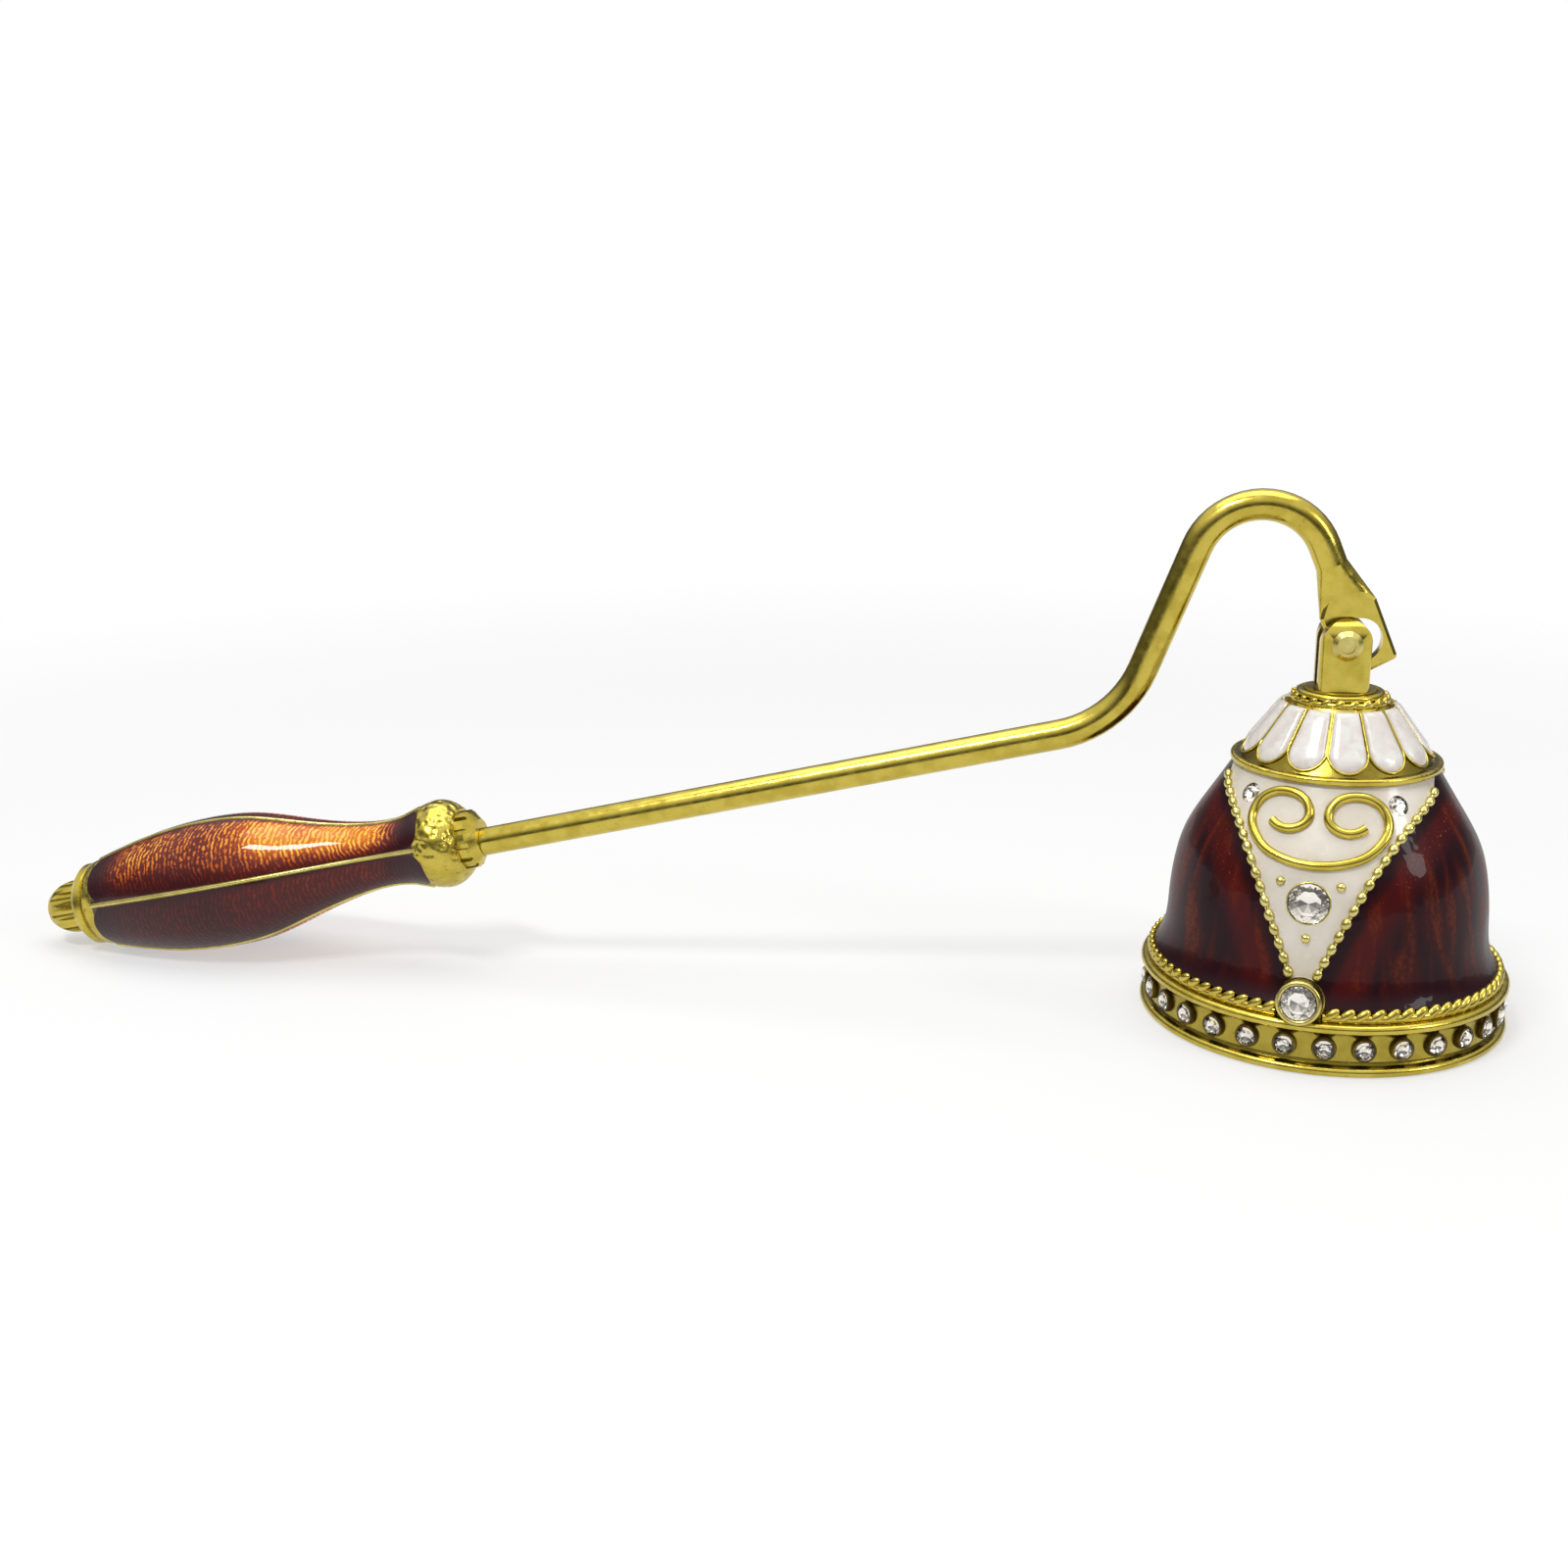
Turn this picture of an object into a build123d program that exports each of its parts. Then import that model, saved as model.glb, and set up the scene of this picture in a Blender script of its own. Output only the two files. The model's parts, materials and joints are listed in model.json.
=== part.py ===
from build123d import *
import os
from math import atan2, cos, degrees, hypot, radians, sin

# Candle snuffer: an enamelled bell that swings on a rivet at the end of a bent wand.
# Lengths are in millimetres and angles in degrees. The origin is the centre of the bell's mouth,
# on the table. +X runs from the handle towards the bell and Y is the hinge's axis.

# Rim band
rim_radius = 20.9
band_wall = 2.5
band_height = 6.0
bottom_ledge = 1.9
top_ledge = 0.9
channel_depth = 0.5
ledge_round = 0.25
shoulder_round = 0.6

# Cup
bare_strip = 1.3
wall_height = 22.9
enamel_depth = 0.6
metal_wall = 1.1
ring_height = 0.8
ring_overhang = 1.0
ring_round = 0.3
cone_height = 6.4
cone_foot_share = 0.5144
cone_top_radius = 5.95
boss_radius = 4.4
boss_height = 1.0
ceiling_radius = 5.2
ceiling_drop = 3.2

# Outline of the cup's wall: share of the wall's height, share of the rim's radius
wall_shares = (
    (0, 0.935), (0.048, 0.9), (0.126, 0.873), (0.271, 0.859), (0.466, 0.834),
    (0.598, 0.795), (0.747, 0.709), (0.86, 0.631), (0.97, 0.556), (1, 0.535),
)

# Petals
petal_count = 13
petal_line = 0.7
petal_depth = 0.5
petal_foot_gap = 0.4
petal_end_height = 4.6

# White panels, front and back
panel_turn = -13.5
border_width = 0.9
relief = 0.4
scroll_width = 0.95
scroll_half_width_share = 0.345
scroll_height_share = 0.301
scroll_top_share = 0.957
stud_radius = 0.5
stud_height = 0.3

# One side of a panel: share of the wall's height, share of the rim's radius
side_shares = (
    (0, 0.0145), (0.167, 0.081), (0.347, 0.165), (0.527, 0.251), (0.617, 0.301),
    (0.739, 0.38), (0.86, 0.478), (0.926, 0.533), (1, 0.524),
)
# One half of the scroll: share of its half width, share of its height from the top
scroll_shares = (
    (0, 1.0), (0.278, 0.986), (0.542, 0.928), (0.903, 0.71), (1.0, 0.45), (0.889, 0.174),
    (0.556, 0), (0.222, 0.087), (0.132, 0.3), (0.264, 0.486), (0.444, 0.551), (0.632, 0.543),
)
# Studs: share of the panel's half width at that height, share of the wall's height
stud_shares = ((-0.55, 0.572), (0.55, 0.572), (0, 0.319))

# Crystals
rim_stone_count = 30
rim_stone_radius = 1.15
rim_stone_phase = 8.4
seat_clearance = 0.25
centre_stone_radius = 2.25
centre_stone_height_share = 0.485
corner_stone_radius = 1.15
corner_stone_share = 0.378
corner_stone_height_share = 0.912
apex_stone_radius = 1.9
apex_stone_rise = 2.1
collet_radius = 2.6
collet_tilt = 12
collet_reach = 0.25
collet_depth = 2.65
collet_lip = 0.3
stone_sides = 8
crown_height_share = 0.3
table_share = 0.58
culet_share = 0.45
rim_stone_depth = 0.7
apex_stone_depth = 0.9

# Twisted wire rings
rim_rope_radius = 0.55
crown_rope_radius = 0.6
rope_clearance = 0.05
solder_sink = 0.05

# Clevis and its rivet
collar_radius = 3.95
collar_height = 0.5
post_width = 5.6
post_depth = 6.8
post_corner = 1.3
post_shoulder = 2.2
pin_rise = 5.3
slot_floor_rise = 0.2
spigot_radius = 2.2
spigot_burr = 0.6
burr_height = 0.5
pin_radius = 0.85
pin_fit = 0.02
head_radius = 1.7
head_height = 0.5
head_edge_share = 0.7
dimple_radius = 0.8
dimple_depth = 0.2

# Wand, in its own frame: the rivet at the origin and the rod level
rod_radius = 1.77
rod_drop = 5.56
crook_radius = 7.5
limb_slope = 57.25
lower_bend_radius = 13
drop_slope = -79.0
drop_length = 10.9
reach = 106.7
rod_lean = 0.84
rod_offset = 0.66

# Forged end of the rod
paddle_thickness = 1.8
paddle_half_width = 3.2
paddle_side_play = 0.25
paddle_end = 4.5
paddle_end_slant = 0.7
paddle_corner = 0.5
paddle_edge = 0.35
forging_start = 8.6
forging_length = 5.2
forging_blend = 1.8
forging_blend_share = 0.6
eye_radius = 2.5
eye_lean = 13.45
running_clearance = 0.05

# Handle
ferrule_length = 2.2
ferrule_radius = 3.7
ferrule_lip = 2.3
ferrule_notches = 12
notch_width = 0.7
notch_depth = 0.35
collar_length = 3.4
handle_collar_radius = 5.65
body_length = 48.7
belly_radius = 8.6
handle_enamel_depth = 0.5
panel_count = 5
rib_turn = 10.5
rib_half_width = 0.4
panel_end_gap = 1.1
flare_length = 1.8
front_flare_half_width = 2.3
back_flare_half_width = 3.1
flare_sag = 0.5
butt_length = 2.1
butt_radius = 5.4
butt_groove_radius = 5.05
butt_end_radius = 4.8
finial_length = 6.6
finial_radius = 3.5
finial_neck_radius = 3.25
finial_tip_radius = 2.3
finial_swell_share = 0.4
finial_tip_share = 0.2
finial_flute_share = 0.85
finial_tenon_radius = 1.8
finial_tenon_length = 5.0
flute_count = 10
flute_radius = 0.8
socket_depth = 14
socket_clearance = 0.05

# Outline of the handle's body: share of its length, share of the belly's radius
body_shares = (
    (0, 0.653), (0.037, 0.607), (0.076, 0.537), (0.142, 0.497), (0.22, 0.537),
    (0.376, 0.744), (0.511, 0.948), (0.635, 1.0), (0.768, 0.948), (0.908, 0.791), (1, 0.651),
)
# Outline of the collar from the ferrule to the body: share of its length, share of its radius
collar_shares = ((0, 0.71), (0.26, 0.86), (0.55, 0.96), (0.85, 1.0))

# Search for the tilt at which the handle rests on the table
belly_samples = 60
steepest_tilt = 30
search_steps = 40

# One overrun for every cut
overrun = 1.0

# Radii that follow
mouth_radius = rim_radius - band_wall
cone_foot_radius = rim_radius * cone_foot_share
ring_radius = cone_foot_radius + ring_overhang

# Heights that follow
enamel_foot = band_height + bare_strip
ring_foot = enamel_foot + wall_height
cone_foot = ring_foot + ring_height
crown_height = cone_foot + cone_height
boss_top = crown_height + boss_height
collar_top = boss_top + collar_height
pin_height = collar_top + pin_rise


def section(*lines):
    return make_face(Curve() + list(lines))


def upright(points):
    """Points of a half section, given as radius and height, in the XZ plane."""
    return [(radius, 0, height) for radius, height in points]


def turned(*lines):
    return revolve(section(*lines), axis=Axis.Z)


# Cup


def wall_line(inset):
    """The wall's outline, moved in towards the axis by the inset."""
    points = [(rim_radius * r - inset, enamel_foot + wall_height * h) for h, r in wall_shares]
    return Spline(*upright(points))


wall_outline = wall_line(0)
foot_radius = (wall_outline @ 0).X - enamel_depth


def wall_share_at(height):
    low, high = 0.0, 1.0
    for _ in range(search_steps):
        middle = (low + high) / 2
        if wall_outline.position_at(middle).Z < height:
            low = middle
        else:
            high = middle
    return low


def facing(azimuth):
    """Upright plane through the axis that faces an azimuth, counted from the front."""
    turn = radians(azimuth)
    return Plane(origin=(0, 0, 0), x_dir=(cos(turn), sin(turn), 0), z_dir=(sin(turn), -cos(turn), 0))


def wall_plane(azimuth, height):
    """Plane on the cup's outside, with its normal square to the surface."""
    turn = radians(azimuth)
    share = wall_share_at(height)
    point = wall_outline.position_at(share)
    along = wall_outline.tangent_at(share)
    out = Vector(along.Z * sin(turn), -along.Z * cos(turn), -along.X)
    return Plane(
        origin=(point.X * sin(turn), -point.X * cos(turn), point.Z),
        x_dir=(cos(turn), sin(turn), 0), z_dir=out,
    )


def wall_shell(inner, outer):
    """The layer of the wall between two insets."""
    inside, outside = wall_line(inner), wall_line(outer)
    foot = Line(inside @ 0, outside @ 0)
    head = Line(inside @ 1, outside @ 1)
    return turned(inside, head, outside, foot)


def cone_shell(depth):
    points = (
        (cone_foot_radius - depth, cone_foot), (cone_foot_radius, cone_foot),
        (cone_top_radius, crown_height), (cone_top_radius - depth, crown_height),
    )
    return turned(Polyline(*upright(points), close=True))


def cup_body():
    core = wall_line(enamel_depth)
    inner = wall_line(enamel_depth + metal_wall)
    ceiling = crown_height - ceiling_drop
    outside = Polyline(*upright((
        ((core @ 1).X, ring_foot), (ring_radius, ring_foot), (ring_radius, cone_foot),
        (cone_foot_radius - petal_depth, cone_foot), (cone_top_radius - petal_depth, crown_height),
        (boss_radius, crown_height), (boss_radius, boss_top), (spigot_radius, boss_top),
        (spigot_radius, ceiling), (ceiling_radius, ceiling), ((inner @ 1).X, ring_foot),
    )))
    foot = Polyline(*upright((
        ((inner @ 0).X, enamel_foot), (mouth_radius, band_height), (foot_radius, band_height),
        (foot_radius, enamel_foot),
    )))
    body = turned(core, outside, inner, foot)
    ring_edges = body.edges().filter_by(GeomType.CIRCLE).filter_by(lambda e: abs(e.radius - ring_radius) < pin_fit)
    return fillet(ring_edges, ring_round)


def petal_prism(azimuth):
    """A petal's outline, cut square through the cone at an azimuth."""
    turn = radians(azimuth)
    run = cone_foot_radius - cone_top_radius
    slant = hypot(run, cone_height)
    middle_radius = (cone_foot_radius + cone_top_radius) / 2
    middle_height = cone_foot + cone_height / 2
    out = (cone_height * sin(turn), -cone_height * cos(turn), run)
    plane = Plane(
        origin=(middle_radius * sin(turn), -middle_radius * cos(turn), middle_height),
        x_dir=(cos(turn), sin(turn), 0), z_dir=out,
    )
    half_turn = radians(180 / petal_count)

    def half_width(along):
        radius = cone_foot_radius - run * along / slant
        return radius * sin(half_turn) - petal_line / 2

    widest = petal_foot_gap + petal_end_height / 2
    foot = widest - slant / 2
    head = slant / 2 + overrun
    sides = Polygon(
        (-half_width(widest), foot), (half_width(widest), foot),
        (half_width(slant + overrun), head), (-half_width(slant + overrun), head), align=None,
    )
    end = Pos(0, foot) * Ellipse(half_width(widest), petal_end_height / 2)
    return extrude(plane * (sides + end), amount=overrun, both=True)


def panel_side():
    """Corners along one side of a panel, from its foot up: half width and height."""
    return [(rim_radius * width, enamel_foot + wall_height * rise) for rise, width in side_shares]


def panel_half_width(height):
    side = panel_side()
    for (low_width, low), (high_width, high) in zip(side, side[1:]):
        if height <= high:
            break
    return low_width + (high_width - low_width) * (height - low) / (high - low)


def panel_prism(azimuth):
    side = panel_side()
    foot_width, foot = side[0]
    head_width, head = side[-1]
    side = [(foot_width, foot - overrun)] + side + [(head_width, head + overrun)]
    corners = side + [(-width, height) for width, height in reversed(side)]
    return extrude(facing(azimuth) * Polygon(*corners, align=None), amount=rim_radius + overrun)


def border_prism(azimuth):
    """The two strips that the panel's beading follows."""
    half = border_width / 2
    side = panel_side()[:-1]
    inner, outer = [], []
    for k, (width, height) in enumerate(side):
        before, after = side[max(k - 1, 0)], side[min(k + 1, len(side) - 1)]
        run, rise = after[0] - before[0], after[1] - before[1]
        scale = half / hypot(run, rise)
        outer.append((width + rise * scale, height - run * scale))
        inner.append((width - rise * scale, height + run * scale))
    strip = extrude(Polygon(*outer, *reversed(inner), align=None), amount=rim_radius + overrun)
    above = Pos(0, enamel_foot + apex_stone_rise) * Rectangle(
        2 * rim_radius, wall_height, align=(Align.CENTER, Align.MIN)
    )
    strip &= extrude(above, amount=rim_radius + overrun)
    return facing(azimuth).location * (strip + mirror(strip, about=Plane.YZ))


def scroll_prism(azimuth):
    top = enamel_foot + wall_height * scroll_top_share
    half_width, drop = rim_radius * scroll_half_width_share, wall_height * scroll_height_share
    path = [(half_width * x, top - drop * y) for x, y in scroll_shares]
    stroke = trace(Spline(*path, tangents=((1, 0), (1, 0)), tangent_scalars=(1, 1)), line_width=scroll_width)
    half = extrude(stroke, amount=rim_radius + overrun)
    return facing(azimuth).location * (half + mirror(half, about=Plane.YZ))


# Crystals


def stone(radius, depth):
    """A faceted stone, its girdle at the origin and its table up."""
    girdle = RegularPolygon(radius, stone_sides)
    table = Pos(0, 0, radius * crown_height_share) * RegularPolygon(radius * table_share, stone_sides)
    culet = Pos(0, 0, -depth) * RegularPolygon(radius * culet_share, stone_sides)
    return loft([girdle, table], ruled=True) + loft([culet, girdle], ruled=True)


def rim_stone_planes():
    height = (bottom_ledge + band_height - top_ledge) / 2
    floor = rim_radius - channel_depth
    for k in range(rim_stone_count):
        azimuth = panel_turn + rim_stone_phase + k * 360 / rim_stone_count
        plane = facing(azimuth)
        yield Plane(origin=plane.z_dir * floor + Vector(0, 0, height), x_dir=plane.x_dir, z_dir=plane.z_dir)


def collet_plane(azimuth):
    """Plane of the apex stone's girdle, leaning back a little over the rope ring."""
    turn = radians(azimuth)
    lean = radians(collet_tilt)
    out = Vector(sin(turn) * cos(lean), -cos(turn) * cos(lean), sin(lean))
    reach_out = rim_radius - collet_reach
    height = band_height + apex_stone_rise
    return Plane(
        origin=(reach_out * sin(turn), -reach_out * cos(turn), height),
        x_dir=(cos(turn), sin(turn), 0), z_dir=out,
    )


# Clevis


def clevis():
    floor = collar_top + slot_floor_rise
    block_height = pin_rise + post_width / 2
    half_width, half_depth = post_width / 2, post_depth / 2
    block = Pos(0, 0, collar_top) * extrude(
        RectangleRounded(post_width, post_depth, post_corner), amount=block_height
    )
    side_arch = Pos(0, collar_top + pin_rise) * Circle(half_width)
    side_arch += Pos(0, collar_top) * Rectangle(post_width, pin_rise, align=(Align.CENTER, Align.MIN))
    front_arch = Pos(0, collar_top) * Rectangle(post_depth, block_height, align=(Align.CENTER, Align.MIN))
    top_corners = front_arch.vertices().group_by(Axis.Y)[-1]
    front_arch = fillet(top_corners, post_shoulder)
    block &= extrude(Plane.XZ * side_arch, amount=post_depth, both=True)
    block &= extrude(Plane.YZ * front_arch, amount=post_width, both=True)
    slot_width = paddle_thickness + 2 * paddle_side_play
    slot = Pos(0, 0, floor) * Box(
        2 * half_width + 2 * overrun, slot_width, block_height + overrun,
        align=(Align.CENTER, Align.CENTER, Align.MIN),
    )
    bore = Pos(0, 0, pin_height) * Rot(X=90) * Cylinder(pin_radius + pin_fit, 2 * half_depth + 2 * overrun)
    ceiling = crown_height - ceiling_drop
    collar = Pos(0, 0, boss_top) * extrude(Circle(collar_radius), amount=collar_height)
    spigot = Pos(0, 0, ceiling) * extrude(Circle(spigot_radius), amount=boss_top - ceiling)
    burr = Pos(0, 0, ceiling) * extrude(Circle(spigot_radius + spigot_burr), amount=-burr_height)
    burr = chamfer(burr.edges().group_by(Axis.Z)[0], burr_height / 2)
    return block - slot - bore + collar + spigot + burr


def hinge_pin():
    half = post_depth / 2
    shank = Rot(X=90) * Cylinder(pin_radius, post_depth)
    pin = shank
    for side in (-1, 1):
        head = Pos(0, side * half, 0) * Rot(X=-90 * side) * Cone(
            head_radius, head_radius * head_edge_share, head_height,
            align=(Align.CENTER, Align.CENTER, Align.MIN),
        )
        dimple = Pos(0, side * (half + head_height), 0) * Rot(X=90) * Cylinder(dimple_radius, 2 * dimple_depth)
        pin = pin + (head - dimple)
    return Pos(0, 0, pin_height) * pin


# Wand


def along_slope(angle):
    return Vector(cos(radians(angle)), 0, sin(radians(angle)))


def across_slope(angle):
    return Vector(-sin(radians(angle)), 0, cos(radians(angle)))


drop_along = along_slope(drop_slope)
drop_across = across_slope(drop_slope)
limb_along = along_slope(limb_slope)
eye_play = eye_radius - pin_radius - running_clearance
eye_lateral = eye_play * cos(radians(eye_lean))
eye_along = eye_play * sin(radians(eye_lean))
crook_centre = drop_across * (eye_lateral - crook_radius) - drop_along * drop_length
crook_top = crook_centre + Vector(0, 0, crook_radius)
drop_head = drop_across * eye_lateral - drop_along * drop_length
limb_head = crook_centre + across_slope(limb_slope) * crook_radius
handle_front = Vector(-reach, 0, -rod_drop)
rod_along = along_slope(rod_lean)
rod_across = across_slope(rod_lean)
rod_front = handle_front - Vector(0, 0, rod_offset)
lower_corner = limb_head - limb_along * ((limb_head - rod_front).dot(rod_across) / limb_along.dot(rod_across))


def paddle():
    """Flat end of the rod, pierced by a loose eye that hangs on the rivet."""
    head = -forging_start + forging_length - forging_blend
    shoulder = -forging_start + forging_length
    narrow = paddle_half_width * forging_blend_share
    outline = Polygon(
        (eye_lateral - narrow, head), (eye_lateral + narrow, head),
        (eye_lateral + paddle_half_width, shoulder),
        (eye_lateral + paddle_half_width, paddle_end - paddle_end_slant),
        (eye_lateral - paddle_half_width, paddle_end),
        (eye_lateral - paddle_half_width, shoulder), align=None,
    )
    outline = fillet(outline.vertices().sort_by(Axis.Y)[-2:], paddle_corner)
    plane = Plane(origin=(0, 0, 0), x_dir=drop_across, z_dir=(0, 1, 0))
    plate = extrude(plane * outline, amount=paddle_thickness / 2, both=True)
    rims = plate.edges().filter_by(lambda e: abs(abs(e.center().Y) - paddle_thickness / 2) < pin_fit)
    plate = chamfer(rims, paddle_edge)
    eye = plane * (Pos(eye_lateral, eye_along) * Circle(eye_radius))
    return plate, extrude(eye, amount=paddle_thickness, both=True)


def rod():
    start = rod_front - rod_along * socket_depth
    neck = drop_across * eye_lateral - drop_along * forging_start
    bend = FilletPolyline(start, lower_corner, limb_head, radius=lower_bend_radius)
    crook = ThreePointArc(limb_head, crook_top, drop_head)
    path = Curve() + [bend, crook, Line(drop_head, neck)]
    wire = sweep(Plane(origin=start, x_dir=(0, 1, 0), z_dir=rod_along) * Circle(rod_radius), path=path)
    neck_plane = Plane(origin=neck, x_dir=drop_across, z_dir=drop_along)
    end_plane = Plane(origin=neck + drop_along * forging_length, x_dir=drop_across, z_dir=drop_along)
    forging = loft([
        neck_plane * Circle(rod_radius),
        end_plane * Ellipse(paddle_half_width, paddle_thickness / 2),
    ])
    plate, eye = paddle()
    return wire + forging + plate - eye


# Handle, along its own axis: the stations count back from the ferrule's front


def handle_point(station, radius):
    return handle_front + Vector(-station, 0, radius)


def rod_socket(depth):
    """The hole for the rod, which enters the handle a little low and leans in it."""
    mouth = Plane(origin=rod_front + rod_along * overrun, z_dir=-rod_along)
    return extrude(mouth * Circle(rod_radius + socket_clearance), amount=depth + overrun)


def swung(*lines):
    """Turns a half section about the handle's axis."""
    return revolve(section(*lines), axis=Axis(handle_front, (1, 0, 0)))


collar_start = ferrule_length
body_start = collar_start + collar_length
body_end = body_start + body_length
butt_end = body_end + butt_length


def body_line(inset):
    return Spline(*[
        handle_point(body_start + body_length * s, belly_radius * r - inset) for s, r in body_shares
    ])


def collar_line(end):
    points = [handle_point(collar_start + collar_length * s, handle_collar_radius * r) for s, r in collar_shares]
    return Spline(*points, end)


def handle_body(inset):
    outline = body_line(inset)
    return swung(
        outline, Line(outline @ 1, handle_point(body_end, 0)),
        Line(handle_point(body_end, 0), handle_point(body_start, 0)),
        Line(handle_point(body_start, 0), outline @ 0),
    )


def rib_prism(turn):
    """A rib between two enamel panels, flared at its ends into the collar and the butt ring."""
    front = body_start + panel_end_gap
    back = body_end - panel_end_gap
    near = front + flare_length
    far = back - flare_length

    def edge(side):
        return [
            Line((front - overrun, side * front_flare_half_width), (front, side * front_flare_half_width)),
            SagittaArc((front, side * front_flare_half_width), (near, side * rib_half_width), side * -flare_sag),
            Line((near, side * rib_half_width), (far, side * rib_half_width)),
            SagittaArc((far, side * rib_half_width), (back, side * back_flare_half_width), side * -flare_sag),
            Line((back, side * back_flare_half_width), (back + overrun, side * back_flare_half_width)),
        ]

    closing = [
        Line((front - overrun, -front_flare_half_width), (front - overrun, front_flare_half_width)),
        Line((back + overrun, -back_flare_half_width), (back + overrun, back_flare_half_width)),
    ]
    strip = make_face(Curve() + edge(1) + edge(-1) + closing)
    angle = radians(turn)
    plane = Plane(origin=handle_front, x_dir=(-1, 0, 0), z_dir=(0, -cos(angle), sin(angle)))
    return extrude(plane * strip, amount=belly_radius + overrun)


def panel_pockets():
    """The room round the body that the enamel panels fill, one block to a panel."""
    middle = handle_front - Vector(body_start + panel_end_gap, 0, 0)
    length = body_length - 2 * panel_end_gap
    window = Plane(origin=middle, z_dir=(-1, 0, 0)) * Circle(belly_radius + overrun)
    room = extrude(window, amount=length) - handle_body(handle_enamel_depth)
    for k in range(panel_count):
        room -= rib_prism(rib_turn + k * 360 / panel_count)

    def around(solid):
        centre = solid.center() - handle_front
        return (degrees(atan2(centre.Z, -centre.Y)) - rib_turn) % 360

    return sorted(room.solids(), key=around)


def handle_casting(pockets):
    body = body_line(0)
    collar = collar_line(body @ 0)
    butt = Polyline(
        body @ 1, handle_point(body_end + butt_length / 8, butt_groove_radius),
        handle_point(body_end + butt_length / 4, butt_radius), handle_point(butt_end - butt_length / 3, butt_radius),
        handle_point(butt_end, butt_end_radius), handle_point(butt_end, 0), handle_point(collar_start, 0),
        collar @ 0,
    )
    casting = swung(collar, body, butt)
    for pocket in pockets:
        casting -= pocket
    casting -= rod_socket(socket_depth + overrun)
    tenon = Plane(origin=handle_front - Vector(butt_end, 0, 0), z_dir=(1, 0, 0))
    return casting - extrude(tenon * Circle(finial_tenon_radius), amount=finial_tenon_length)


def ferrule():
    shell = swung(Polyline(
        handle_point(0, 0), handle_point(0, ferrule_lip),
        handle_point(ferrule_length / 2, ferrule_radius), handle_point(ferrule_length, ferrule_radius),
        handle_point(ferrule_length, 0), close=True,
    ))
    shell -= rod_socket(ferrule_length + overrun)
    for k in range(ferrule_notches):
        turn = radians(360 * k / ferrule_notches)
        centre = handle_front + Vector(-ferrule_length / 2, cos(turn) * ferrule_radius, sin(turn) * ferrule_radius)
        plane = Plane(origin=centre, x_dir=(1, 0, 0), z_dir=(0, cos(turn), sin(turn)))
        shell -= plane.location * Box(ferrule_length + overrun, notch_width, 2 * notch_depth)
    return shell


def finial():
    """Fluted knob that closes the butt."""
    tip = butt_end + finial_length
    knob = swung(
        Line(handle_point(butt_end, 0), handle_point(butt_end, finial_neck_radius)),
        Spline(
            handle_point(butt_end, finial_neck_radius),
            handle_point(butt_end + finial_length * finial_swell_share, finial_radius),
            handle_point(tip - finial_length * finial_tip_share, finial_tip_radius),
        ),
        Spline(
            handle_point(tip - finial_length * finial_tip_share, finial_tip_radius), handle_point(tip, 0),
        ),
        Line(handle_point(tip, 0), handle_point(butt_end, 0)),
    )
    for k in range(flute_count):
        turn = radians(360 * k / flute_count)
        centre = handle_front + Vector(-butt_end, cos(turn) * finial_radius, sin(turn) * finial_radius)
        flute = Plane(origin=centre, z_dir=(-1, 0, 0)) * Circle(flute_radius)
        knob -= extrude(flute, amount=finial_length * finial_flute_share)
    tenon = Plane(origin=handle_front - Vector(butt_end, 0, 0), z_dir=(1, 0, 0))
    return knob + extrude(tenon * Circle(finial_tenon_radius - pin_fit), amount=finial_tenon_length - pin_fit)


# The wand lies with its belly on the table


def belly_height(tilt):
    """Height of the handle's lowest point over the table at a tilt of the rod."""
    rise, level = sin(radians(tilt)), cos(radians(tilt))
    outline = body_line(0)
    heights = []
    for k in range(belly_samples + 1):
        point = outline.position_at(k / belly_samples)
        radius = point.Z - handle_front.Z
        heights.append(pin_height + point.X * rise + handle_front.Z * level - radius * level)
    return min(heights)


def resting_tilt():
    low, high = 0.0, steepest_tilt
    for _ in range(search_steps):
        middle = (low + high) / 2
        if belly_height(middle) > 0:
            low = middle
        else:
            high = middle
    return low


def placed(wand_piece, tilt):
    """Carries a piece from the wand's own frame to where the wand lies on the table."""
    return Pos(0, 0, pin_height) * Rot(Y=-tilt) * wand_piece


# Rim band and the twisted wire rings


def rim_band():
    channel_head = band_height - top_ledge
    ring = turned(Polyline(*upright((
        (mouth_radius, 0), (rim_radius, 0), (rim_radius, bottom_ledge),
        (rim_radius - channel_depth, bottom_ledge), (rim_radius - channel_depth, channel_head),
        (rim_radius, channel_head), (rim_radius, band_height), (mouth_radius, band_height),
    )), close=True))
    lips = ring.edges().filter_by(GeomType.CIRCLE).filter_by(lambda e: abs(e.radius - rim_radius) < pin_fit)
    lips = lips.sort_by(Axis.Z)
    ring = fillet(lips[:-1], ledge_round)
    return fillet(ring.edges().filter_by(GeomType.CIRCLE).group_by(SortBy.RADIUS)[-1].sort_by(Axis.Z)[-1], shoulder_round)


def rope_ring(inner_radius, tube_radius, foot):
    """A ring of twisted wire, soldered down on a flat foot."""
    centre = inner_radius + rope_clearance + tube_radius
    ring = Pos(0, 0, foot + tube_radius - solder_sink) * Torus(centre, tube_radius)
    floor = Pos(0, 0, foot) * Cylinder(
        centre + 2 * tube_radius, tube_radius, align=(Align.CENTER, Align.CENTER, Align.MAX)
    )
    return ring - floor


# Pieces of the bell


def disc(plane, radius, below, above):
    """A round plug that stands square to a plane, from below it to above it."""
    plug = Cylinder(radius, below + above, align=(Align.CENTER, Align.CENTER, Align.MIN))
    return plane.location * Pos(0, 0, -below) * plug


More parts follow.
